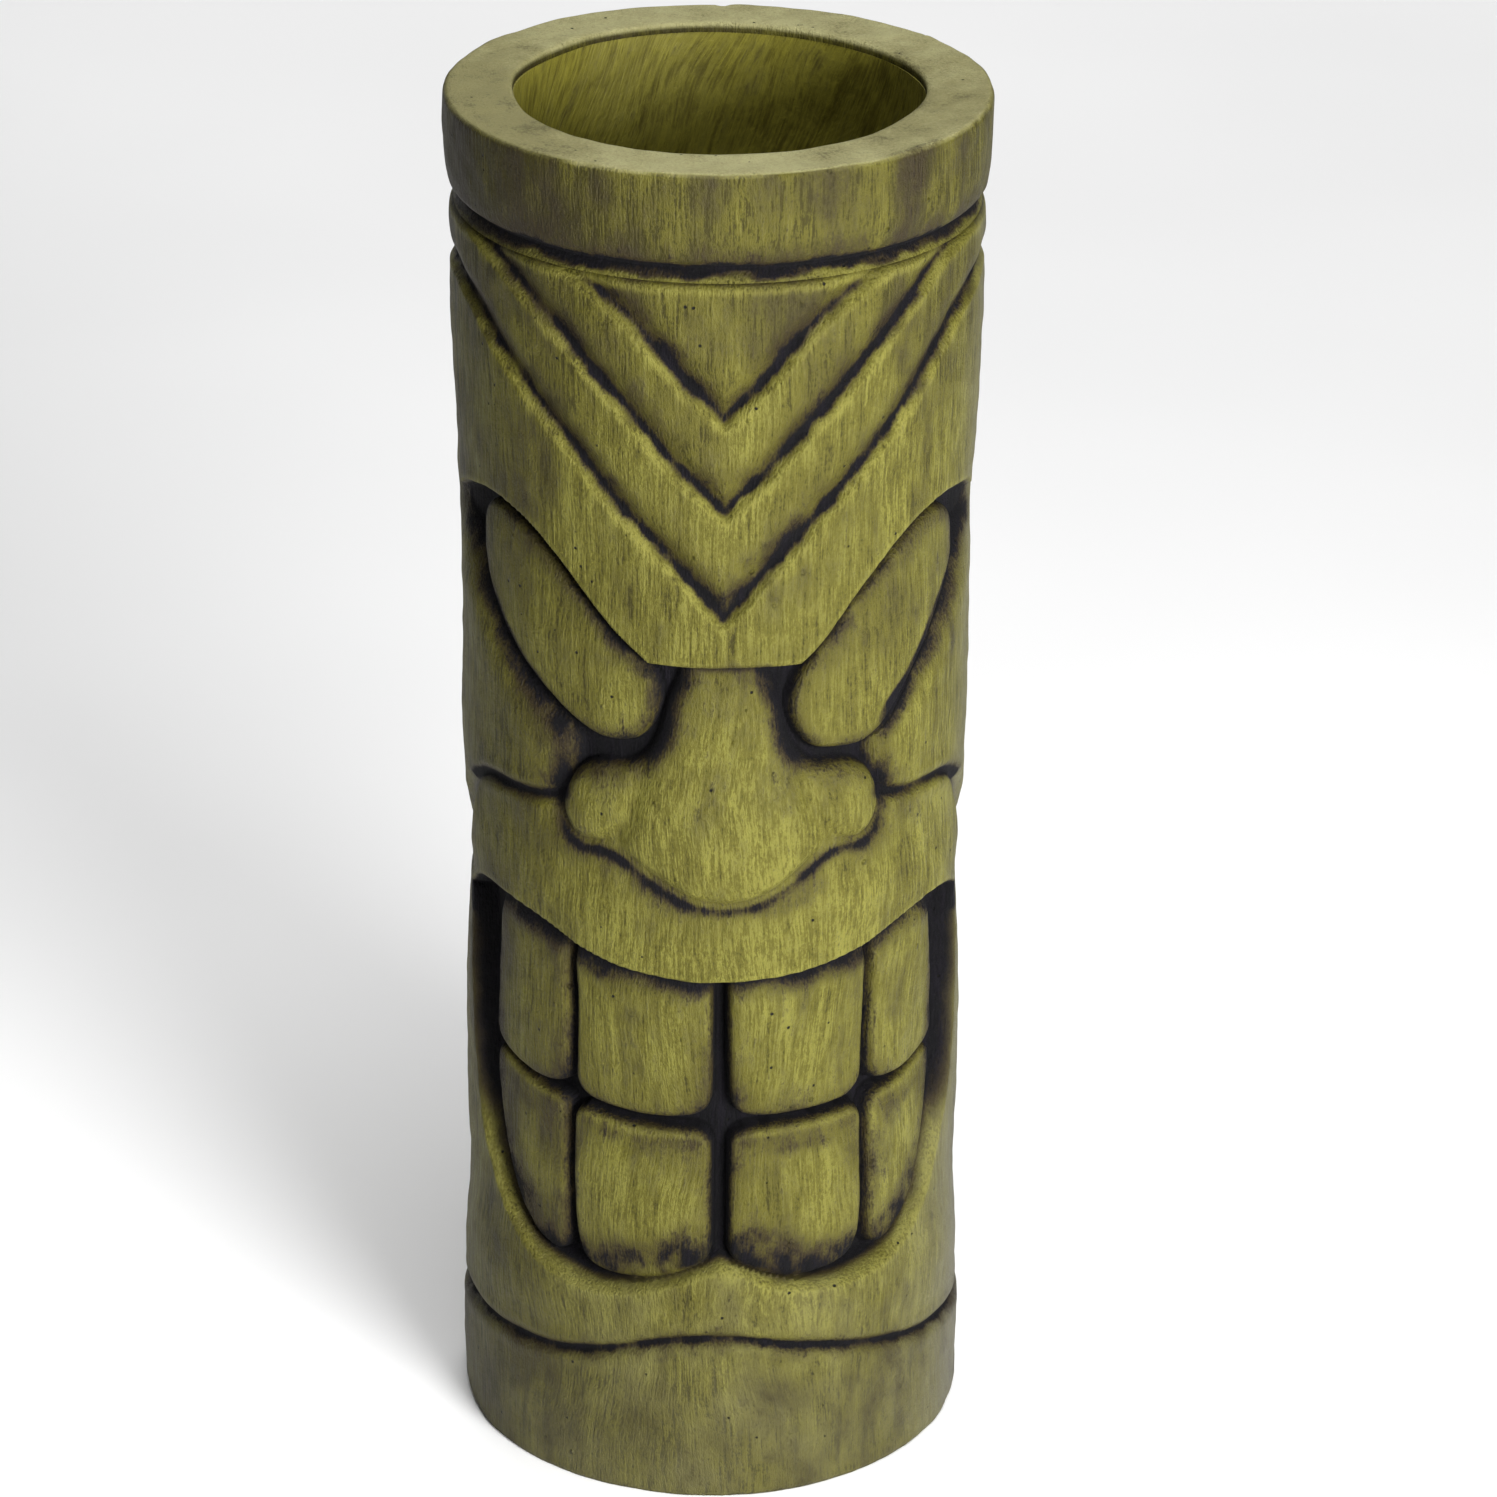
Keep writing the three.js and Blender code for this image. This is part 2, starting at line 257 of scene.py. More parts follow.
NOSE_LOWER = [
    (0, 355.3), (6, 357), (11.5, 362.5), (17, 371), (21, 378.5), (24.5, 383.6), (28.5, 385), (32.5, 384.8),
    (36.4, 389.5), (39, 399), (39.4, 408), (38.2, 417.5), (35.4, 425.8), (31, 430.8), (27, 432.6),
    (23.6, 433.4), (20.6, 436.5), (17.8, 443), (15.8, 452), (14.6, 462), (13.2, 474), (11, 486),
    (9.5, 500),
]
NOSE_CREASE = [
    (18.5, 432), (19, 422), (20, 411), (22, 400), (24.5, 390),
]
CHEEK_LINE = [
    (37.5, 410), (42, 405.5), (48, 403.5), (55, 402), (62, 399.5), (68, 395), (74, 387),
]
LIP_EDGE = [
    (-80, 318), (-73, 328), (-65, 335.5), (-58, 337), (-50, 335.8), (-42, 331.5), (-33, 323.5), (-22, 316),
    (-11, 312.3), (0, 311), (11, 312.3), (22, 315.5), (33, 321.5), (42, 329), (50, 333.3), (57, 334.8),
    (64, 333), (71, 327), (79, 317),
]
MOUTH_SIDE = [
    (79, 317), (77.5, 300), (74.5, 270), (71.5, 240), (69, 212), (65.5, 185), (61, 162), (55.5, 145.5),
    (48, 132.5), (40, 126.5), (30, 124), (20, 126), (11, 131.5), (5, 137.5), (0, 140.5),
]
LIP_END = [
    (61, 399), (66, 388), (70.5, 370), (75, 348), (80, 324), (84, 314), (92, 316), (98, 330), (94, 352),
    (86, 374), (78, 388), (70, 397),
]
UPPER_TEETH = [
    [
        (2.0, 345), (2.1, 340), (2.1, 300), (2.1, 255), (2.9, 238), (6, 231.7), (12, 229.3), (20, 228.6),
        (28, 229.6), (33, 232.5), (36, 240), (36.5, 255), (36.5, 300), (36.6, 340), (36.6, 345),
    ],
    [
        (39.0, 345), (39.0, 340), (39.0, 300), (38.9, 255), (39.4, 242), (42, 236.3), (49, 234.8),
        (56, 236.5), (61, 240.3), (63, 247), (63.2, 258), (61.8, 290), (60, 320), (58.8, 340), (58.5, 345),
    ],
]
LOWER_TEETH = [
    [
        (2.3, 160), (2.3, 206), (2.8, 216), (5.5, 220.8), (12, 221.6), (20, 221.4), (28, 222.6),
        (34, 223.7), (36.3, 219), (36.6, 205), (36.4, 160), (35.2, 142), (31.5, 132), (23, 128.5),
        (13.5, 130.5), (6, 137.5), (2.7, 145),
    ],
    [
        (38.9, 200), (39.1, 219), (41, 226.5), (47, 229), (54, 232), (60, 236.3), (62.7, 234.5),
        (63.2, 222), (61.8, 200), (59.2, 176), (55, 155), (50, 141.5), (45, 134.5), (41, 134.5),
        (39.1, 144), (38.8, 170),
    ],
]
FOOT_LINE = [
    (-180, 62), (-95, 63), (-80, 66), (-65, 69.5), (-50, 72), (-40, 76), (-29, 83), (-19, 90), (-9, 95.5),
    (0, 97.3), (9, 95.3), (19, 89.5), (29, 83), (40, 76), (50, 70.5), (60, 66), (72, 62.5), (90, 61.5),
    (180, 62),
]

# The plain wall's radius by height, and how the middle of the face stands out from or behind it.
WALL = [
    (0, 138.3), (30, 138.6), (52, 138.2), (66, 136.6), (90, 137.1), (105, 136.3), (122, 135.1),
    (140, 133.8), (160, 134.4), (200, 135.3), (250, 134.8), (290, 133.2), (318, 131.4), (332, 131.6),
    (350, 133.2), (375, 134.4), (410, 135), (480, 135), (530, 134.6), (560, 135.7), (600, 137.3),
    (640, 138.4), (690, 138.9), (701, 138.4),
]
NOSE_RIDGE = [
    (340, 141), (375, 141.2), (392, 140.8), (410, 139.2), (430, 136.6), (450, 134.2), (470, 132.2),
    (493, 130.4), (520, 129),
]


def by_height(points, height):
    """A smooth value through (height, value) points."""
    heights, values = np.array(points, float).T
    fine = np.arange(heights[0] - 30, heights[-1] + 30, 2.0)
    level = blurred(np.interp(fine, heights, values)[None, :], 1, 3.5)[0]
    return np.interp(height, fine, level)


# ---- the carved wall ----

SOCKET_RADIUS = 122.0
MOUTH_FLOOR_RADIUS = 118.5
SWELLS = [(2.2, 508, 34), (3.4, 336, 34), (1.2, 108, 16)]  # brow plate, lip and chin: (proud, height, reach)
CHEVRON_CUT = (4.6, 8.0, 6.5)  # its depth, and the widths of its upper and lower slopes
CREASE_CUT = (3.2, 7.5)  # depth and width
FOOT_CUT = (3.6, 8.0)
LIP_END_DEPTH = 5.5
BED_DEPTH = 1.5  # eyes and nose start this far below the socket's floor
EYE_PROUD, EYE_CROWN = 9.6, 2.6
TOOTH_PROUD, TOOTH_CROWN = (10.2, 9.8), 2.0
TUCK_UNDER_LIP = 3.5
LEAST_WALL = 3.0


def groove(gap, depth, width):
    """A carved valley with rounded shoulders, by distance from its line."""
    valley = np.exp(-((gap / (0.42 * width)) ** 2))
    swell = 0.16 * np.exp(-(((gap - 0.95 * width) / (0.45 * width)) ** 2))
    return depth * (valley - swell)


def chisel_cut(gap, above, depth, upper, lower):
    """A valley that falls gently from the band above it and rises more steeply to the band below."""
    return depth * np.where(above, np.exp(-((gap / upper) ** 2)), 1.0 - ramp(0.0, lower, gap))


def carved_wall(angle, height):
    """The finished surface at each place of a grid.

    Returns its radius, how deep it lies below the plain wall, the wash that runs along its carved lines
    together with painted shade under the brow, the lip and the nose, where the wash was wiped clean, where it
    ends in a crisp line, where light paint was dragged over it with a dry brush, and a number for each raised
    form, whose brush marks are its own.
    """
    def lumpy(wavelength, seed):
        return lumps(angle, height, wavelength, seed)

    # The carver's left side runs a little wider than the right.
    sideways = np.where(angle < 0, angle + 2.2 * ramp(38, 64, -angle), angle)
    wander = 0.8 * lumpy(90, 1)
    arc = sideways * ARC + wander
    z = height + 0.8 * lumpy(80, 2)
    side = np.abs(arc)
    turned = side / ARC

    wall = by_height(WALL, height)
    face = 1.0 - ramp(66, 84, np.abs(angle))
    wash_and_shade, dry, form = (np.zeros(angle.shape) for _ in range(3))
    uneven = 1.0 + 0.3 * lumpy(46, 5) + 0.2 * lumpy(17, 6)
    ragged = 0.35 * lumps(angle, 0.15 * height, 3.2, 7) + 0.8 * lumps(angle, 0.7 * height, 14.0, 8)
    patchy = np.clip(1.0 + 0.55 * lumpy(30, 9) + 0.4 * lumpy(11, 10), 0.3, 1.6)

    # Brow plate, lip and chin swell forward of the plain wall.
    wall = wall + face * sum(proud * hump(z, middle, reach) for proud, middle, reach in SWELLS)

    # Chevrons, with the bands between them slightly crowned.
    for line in map(curved, CHEVRONS):
        gap = distance(line, side, z)
        above = z > np.interp(side, line[:, 0], line[:, 1])
        wall = wall - chisel_cut(gap, above, *CHEVRON_CUT)
        tufts = np.maximum(gap + ragged, 0.0)
        core = 0.5 * patchy * hump(tufts, 0, np.where(above, 2.0, 1.5))
        trail = uneven * np.where(above, 0.52 * hump(tufts, 0, 12.0), 0.5 * hump(tufts, 0, 2.5))
        lift(wash_and_shade, core + trail)
        lift(dry, np.where(above, 0.0, 0.75 * patchy * hump(tufts, 5.0, 3.5)))

    # Recess outside each end of the upper lip.
    end = depth_inside(curved(LIP_END, closed=True), side, z)
    wall = wall - LIP_END_DEPTH * ramp(0, 13, end)
    lift(wash_and_shade, 0.55 * ramp(4, 13, end))

    # Cheek crease.
    crease = distance(curved(CHEEK_LINE), side, z)
    wall = wall - groove(crease, *CREASE_CUT) * ramp(76, 62, turned)
    lift(wash_and_shade, (0.72 * hump(crease, 0, 2.8) + 0.32 * hump(crease, 0, 9)) * uneven)

    # Eye sockets: cut square under the brow, and rising gently to the cheek.
    brow = curved(BROW_EDGE)
    cheek = curved(SOCKET_OUTER)
    socket = depth_inside(both_sides(np.vstack([brow[:-1], cheek[:-1], curved(SOCKET_INNER)])), arc, z)
    to_brow = distance(np.vstack([[[0.0, 493.0]], brow]), side, z)
    to_cheek = distance(cheek, side, z)
    by_brow = ramp(0.30, 0.62, to_cheek / (to_brow + to_cheek + 0.01))
    slope = np.clip((socket + 26.0) / 30.0, 0.0, 1.0) ** 2.6
    cut = by_brow * ramp(-0.8, 4.0, socket) + (1 - by_brow) * slope
    cut = cut * (1.0 - 0.55 * ramp(69, 82, turned))
    sunk = wall + (SOCKET_RADIUS - wall) * cut
    lift(wash_and_shade, 0.9 * ramp(-1.0, 3.0, socket) * ramp(68, 72, turned))
    cheek_edge = (1 - by_brow) * ramp(-17.0, 1.0, socket) * ramp(8.0, 4.0, socket) * ramp(36, 41, turned)
    lift(wash_and_shade, 0.85 * cheek_edge * uneven)
    clean = by_brow * ramp(1.5, -1.0, socket) * ramp(480, 492, z)
    crisp = by_brow * hump(socket, 0, 5.0)

    # Mouth: square under the lip, bevelled along the chin.
    lip = curved(LIP_EDGE)
    mouth = depth_inside(np.vstack([lip, both_sides(curved(MOUTH_SIDE)[1:], first=1)]), arc, z)
    at_lip = ramp(288, 318, z)
    cut = at_lip * ramp(-0.8, 4.2, mouth) + (1 - at_lip) * ramp(-5.0, 6.5, mouth)
    sunk = sunk + (MOUTH_FLOOR_RADIUS - sunk) * cut
    lift(clean, ramp(1.0 + 4.0 * (1 - at_lip), -1.5, mouth) * ramp(-22, -12, mouth))
    lift(dry, 0.4 * (1 - at_lip) * hump(mouth, -4.5, 3.0) * ramp(62, 50, turned))
    lift(crisp, hump(mouth, -1.0, 5.0 + 3.0 * (1 - at_lip)))
    # Painted shade in the mouth's corners under the lip, and down its outer sides under the lip's ends.
    corner = np.hypot(side - 77.0 * ARC, z - 312.0)
    below_lip = ramp(1.5, -1.0, z - np.interp(arc, lip[:, 0], lip[:, 1]))
    lift(wash_and_shade, 1.1 * ramp(19.0, 5.0, corner) * below_lip)
    mouth_side = ramp(56, 66, turned) * ramp(175, 215, z) * below_lip
    lift(wash_and_shade, 0.8 * mouth_side * ramp(-9.0, 3.0, mouth) * (0.75 + 0.25 * uneven))

    # Eyes.
    bed = SOCKET_RADIUS - BED_DEPTH
    for number, outline in enumerate((LEFT_EYE, RIGHT_EYE)):
        eye = depth_inside(curved(outline, closed=True), angle * ARC + wander, z) + 0.8
        level = bed + EYE_PROUD * shoulder(eye, 6.0, 2.6) + EYE_CROWN * shoulder(eye, 30.0)
        sunk = np.where(eye > -1.0, smooth_max(sunk, level, 1.0), sunk)
        form = np.where(eye > -1.0, number + 1.0, form)
        # Painted shade on each eye under the overhanging brow, and round the eye's edge in its socket.
        shaded = np.maximum(0.85 * ramp(17.0, 1.0, to_brow), 0.42 * ramp(12.0, 0.0, eye))
        lift(wash_and_shade, shaded * ramp(-1.5, 2.5, eye) * uneven)

    # Teeth. Painted shade lies under the overhanging lip, and the lower row darkens towards its roots.
    tuck = TUCK_UNDER_LIP * ramp(16, 0, mouth) * at_lip
    for row, outlines in enumerate((UPPER_TEETH, LOWER_TEETH)):
        for number, outline in enumerate(outlines):
            tooth = depth_inside(curved(outline, closed=True), side, z) + 1.3
            level = TOOTH_PROUD[row] * shoulder(tooth, 6.0, 2.8) + TOOTH_CROWN * shoulder(tooth, 34.0)
            level = level + MOUTH_FLOOR_RADIUS + 0.5 - tuck
            raised = (tooth > -1.0) & (mouth > 0.5)
            sunk = np.where(raised, smooth_max(sunk, level, 1.0), sunk)
            form = np.where(raised, 3.0 + 4 * row + 2 * number + (arc > 0), form)
            top = ramp(195, 215, z) * row
            lift(dry, 0.8 * top * hump(tooth, 4.0, 3.0))
            lift(clean, 0.9 * top * hump(tooth, 2.0, 5.0) * ramp(-2.0, 2.0, tooth))
            lift(wash_and_shade, 0.22 * top * hump(tooth, 14.0, 6.0) * uneven)
    lift(wash_and_shade, 0.9 * at_lip * ramp(24, 2, mouth) * ramp(-1.0, 1.0, mouth) * uneven)
    dark_at_roots = 0.78 * ramp(36, 5, mouth) * ramp(215, 165, z) * ramp(-1.5, 5.0, mouth)
    lift(wash_and_shade, dark_at_roots * (0.4 * uneven + 0.6 * patchy))

    # Nose: one form from the bridge to the tip, with a soft crease inside each wing.
    nose = depth_inside(both_sides(curved(NOSE_LOWER)), arc, z)
    inner = distance(curved(NOSE_CREASE), side, z)
    ridge = by_height(NOSE_RIDGE, z) - 2.6 * ramp(18, 78, side)
    ridge = ridge - 2.8 * hump(inner, 0, 6.0) - 0.8 * hump(inner, 0, 14.0)
    flank = 9.0 + 5.0 * ramp(428, 450, z)
    level = bed + (ridge - bed) * (0.75 * shoulder(nose, flank, 2.0) + 0.25 * shoulder(nose, 34.0, 1.8))
    level = np.where(z > 470, bed + (level - bed) * ramp(-1.5, 3.0, socket), level)
    sunk = np.where(nose > -1.0, smooth_max(sunk, level, 1.0), sunk)
    depth = wall - sunk
    # Wash along the nose's lower outline, with painted shade under the tip and, thickest, under the wings.
    under = np.abs(nose + 1.0) / (1.0 + 1.2 * (nose < -1.0)) * ramp(440, 405, z) + 40 * ramp(415, 440, z)
    thick = 0.42 + 0.4 * hump(turned, 27, 9) * ramp(398, 388, z) + 0.2 * ramp(14, 8, turned)
    lift(wash_and_shade, (thick * hump(under, 0, 1.6) + 0.32 * hump(under, 0, 6.5)) * uneven)
    flank_edge = ramp(18, 1, nose) * ramp(-2, 2, nose) * ramp(422, 440, z) * ramp(498, 488, z)
    lift(wash_and_shade, 0.85 * flank_edge * uneven)

    # Wavy line above the foot.
    foot = distance(curved(FOOT_LINE), arc, z)
    sunk = sunk - groove(foot, *FOOT_CUT)
    foot_rough = np.maximum(foot + 0.8 * ragged, 0.0)
    lift(wash_and_shade, 0.5 * hump(foot_rough, 0, 1.9) * patchy + 0.36 * hump(foot_rough, 0, 8) * uneven)

    # Light paint was dragged along the top edge, just under the dark groove below the collar.
    below = SHELL_TOP - height
    wash_and_shade = wash_and_shade * (1.0 - 0.8 * ramp(9.0, 3.0, below) * ramp(70, 45, np.abs(angle)))
    lift(wash_and_shade, 0.2 * patchy * ramp(2.0, 0.0, below + 0.8 * ragged))
    lift(dry, 0.9 * hump(below, 3.5, 3.0))

    # Crease in the middle of the upper lip.
    middle = distance(curved([(0.3, 352), (0.8, 338), (0.2, 322)]), arc, z)
    sunk = sunk - 0.7 * hump(middle, 0, 1.6)

    # Rounded top edge into the rim groove, and a trimmed, slightly worn foot.
    sunk = sunk - 3.0 * ramp(SHELL_TOP - 5.0, SHELL_TOP + 1.5, height) ** 2
    sunk = sunk - 1.2 * ramp(3.0, 0.0, height)

    # Hand-laid unevenness.
    sunk = sunk + 0.35 * lumpy(55, 3) + 0.16 * lumpy(17, 4)

    # Nothing is carved through into the shell's own inner wall.
    past_backing = ramp(BACKING_ANGLE - 3.0, BACKING_ANGLE - 0.2, np.abs(angle))
    lift(sunk, BACKING_BORE + LEAST_WALL + (SHELL_BORE - BACKING_BORE) * past_backing)
    return sunk, depth, wash_and_shade, clean, crisp, dry, form


# ---- meshes ----


def write_attributes(mesh, layers):
    """Puts float or vector values on a mesh's vertices."""
    for key, values in layers.items():
        values = np.asarray(values, np.float32)
        kind, field = ("FLOAT_VECTOR", "vector") if values.ndim == 2 else ("FLOAT", "value")
        mesh.attributes.new(key, kind, "POINT").data.foreach_set(field, values.ravel())


def make_mesh(name, vertices, faces, attributes=None, sharp_angle=None):
    """A mesh object from millimetre vertices."""
    mesh = bpy.data.meshes.new(name)
    mesh.from_pydata((np.asarray(vertices) * MM).tolist(), [], faces)
    mesh.update()
    write_attributes(mesh, attributes or {})
    mesh.polygons.foreach_set("use_smooth", [True] * len(mesh.polygons))
    if sharp_angle is not None:
        mesh.set_sharp_from_angle(angle=math.radians(sharp_angle))
    piece = bpy.data.objects.new(name, mesh)
    bpy.context.scene.collection.objects.link(piece)
    return piece


def on_wall(angle, radius, height):
    """Places on the wall as points in space."""
    turn = np.radians(angle)
    return np.stack([radius * np.sin(turn), -radius * np.cos(turn), height + 0 * turn], axis=-1)


def grid_faces(rows, columns, offset=0, closed=False):
    """Quads of a grid that is numbered row by row, facing outwards when columns run anticlockwise."""
    i, j = np.meshgrid(np.arange(rows - 1), np.arange(columns if closed else columns - 1), indexing="ij")
    left = offset + i * columns + j
    right = offset + i * columns + (j + 1) % columns
    return np.stack([left, right, right + columns, left + columns], axis=-1).reshape(-1, 4).tolist()


SHADE_BELOW_GAP_REACH = 17.0  # how far down the painted shade reaches below a dark gap
FORM_SHIFT = 170.0  # sets the brush marks of each raised form apart


def wall_attributes(angle, height, carving, rise, run):
    """What the paint needs: a place for its brush marks, how thick the wash and the painted shade lie, and
    which edges are proud.

    rise and run are the distances between the grid's rows and columns.
    """
    def softened(field, reach):
        return blurred(field, reach / rise, reach / run)

    radius, depth, wash_and_shade, clean, crisp, dry, form = carving
    fine = softened(radius, 2.4) - radius
    middle = softened(radius, 5.0) - radius
    # Painted shade in the deep recesses, darkest where they are deepest, spreading a little round them.
    deep = np.clip((softened(depth, 1.5) - 4.5) / 9.5, 0.0, 1.0)
    spread = 0.6 * softened(deep, 2.6) + 0.4 * softened(deep, 6.5)
    # Below a dark gap, the wash was dragged down over the form's upper edge.
    shade_below_gap = np.zeros_like(deep)
    soft = softened(deep, 1.6)
    for fall in np.arange(0.0, SHADE_BELOW_GAP_REACH, rise):
        shift = int(round(fall / rise))
        moved = np.vstack([soft[shift:], np.repeat(soft[-1:], shift, axis=0)])
        # Below a dark gap, painted shade reaches down over the form's upper edge, under the overhang above
        # it.
        lift(shade_below_gap, moved * (1.0 - fall / SHADE_BELOW_GAP_REACH))
    halo = np.maximum(spread, 0.66 * shade_below_gap) * (1.0 - clean)
    hollow_wash_and_shade = np.maximum(np.maximum(deep * (1.0 - 0.4 * clean), wash_and_shade), halo)
    # More painted shade in creases and small hollows, and a broad painted shade that darkens each form
    # towards the recesses round it.
    hollow_wash_and_shade += 0.14 * ramp(0.15, 1.2, fine) + 0.16 * ramp(0.2, 2.4, middle) + 0.62 * softened(deep, 13.0)
    edge = np.maximum(0.5 * ramp(0.15, 0.8, -fine), 0.8 * dry)

    calm = 0.3 + 0.7 * ramp(500, 400, height)
    swing = calm * (3.4 * lumps(angle, height, 130, 51) + 0.5 * lumps(angle, height, 45, 52)) / ARC
    place = on_wall(angle + swing, radius, height + FORM_SHIFT * form)
    grids = {"hollow_wash_and_shade": hollow_wash_and_shade, "edge": edge, "crisp": crisp}
    return {"wall": place.reshape(-1, 3)} | {key: grid.ravel() for key, grid in grids.items()}


def shell(name, start, end, step, heights):
    """Half of the body: the carved outside, a smooth bore inside, and flat edges round it."""
    pitch = step / ARC
    columns = np.arange(start, end + 1e-6, pitch)
    if columns[-1] > end - 0.3 * pitch:
        columns = columns[:-1]
    columns = np.append(columns, end)
    signed = (columns + 180) % 360 - 180
    angle, height = np.meshgrid(signed, heights)
    carving = carved_wall(angle, height)
    radius = carving[0]
    outside = on_wall(angle, radius, height).reshape(-1, 3)
    attributes = wall_attributes(angle, height, carving, float(np.mean(np.diff(heights))), step)

    low, high = BACKING_HEIGHTS
    thick = np.where(np.abs(signed) < BACKING_ANGLE, BACKING_BORE, SHELL_BORE)
    plug = SPIGOT_RADIUS + GAP
    levels = [(heights[0], SHELL_BORE), (low, SHELL_BORE), (low + 1, thick), (high - 1, thick),
              (high, SHELL_BORE), (SPIGOT_BOTTOM - GAP, SHELL_BORE), (SPIGOT_BOTTOM - 0.2, plug),
              (heights[-1], plug)]
    inside = np.vstack([on_wall(signed, bore, z) for z, bore in levels])

    rows, width = radius.shape
    first = rows * width
    faces = grid_faces(rows, width)
    faces += [face[::-1] for face in grid_faces(len(levels), width, first)]
    last_row = first + (len(levels) - 1) * width
    for j in range(width - 1):
        faces.append([j + 1, j, first + j, first + j + 1])
        top = (rows - 1) * width + j
        faces.append([top, top + 1, last_row + j + 1, last_row + j])
    for column, reverse in ((0, False), (width - 1, True)):
        outer = [i * width + column for i in range(rows)]
        inner = [first + i * width + column for i in range(len(levels))]
        edge = outer + inner[::-1]
        faces.append(edge if reverse else edge[::-1])
    attributes["wall"] = np.vstack([attributes["wall"], inside])
    for key in ("hollow_wash_and_shade", "edge", "crisp"):
        attributes[key] = np.append(attributes[key], np.zeros(len(inside)))
    return make_mesh(name, np.vstack([outside, inside]), faces, attributes)


def turned_grid(profile, columns, shape=None):
    """Rows of (radius, height) places turned round the axis, as angle, radius and height grids."""
    signed = (np.arange(columns) * 360.0 / columns + 180) % 360 - 180
    radii, heights = np.array(profile, float).T
    angle, radius = np.meshgrid(signed, radii)
    _, height = np.meshgrid(signed, heights)
    if shape is not None:
        radius, height = shape(angle, radius, height)
    return angle, radius, height


def turned_mesh(name, angle, radius, height, attributes):
    """A closed ring from a turned grid, whose last row joins its first."""
    rows, columns = radius.shape
    faces = grid_faces(rows, columns, closed=True)
    last = (rows - 1) * columns
    faces += [[last + j, last + (j + 1) % columns, (j + 1) % columns, j] for j in range(columns)]
    return make_mesh(name, on_wall(angle, radius, height).reshape(-1, 3), faces, attributes, sharp_angle=50)


def along(points, spacing):
    """A straight-sided profile cut into short steps. Each point is (radius, height)."""
    out = []
    for (r0, z0), (r1, z1) in zip(points, points[1:]):
        steps = max(1, round(math.hypot(r1 - r0, z1 - z0) / spacing))
        out += [(r0 + (r1 - r0) * i / steps, z0 + (z1 - z0) * i / steps) for i in range(steps)]
    return out + [points[-1]]


def rounded_profile(points, spacing):
    """A profile that bends smoothly through its points."""
    knots = [(r / ARC, z) for r, z in points]
    return [tuple(p) for p in curved(knots, spacing=spacing)]


COLLAR_COLUMNS = 320
LINER_COLUMNS = 240
FLOOR_COLUMNS = 120


def hand_cut(angle):
    """How far the hollow's hand-cut edge strays from a circle; it has a flatter stretch to the right."""
    return 1.3 * np.clip(lumps(angle, 0 * angle, 120, 24), -1, 1) - 2.6 * hump(angle, 62, 17)


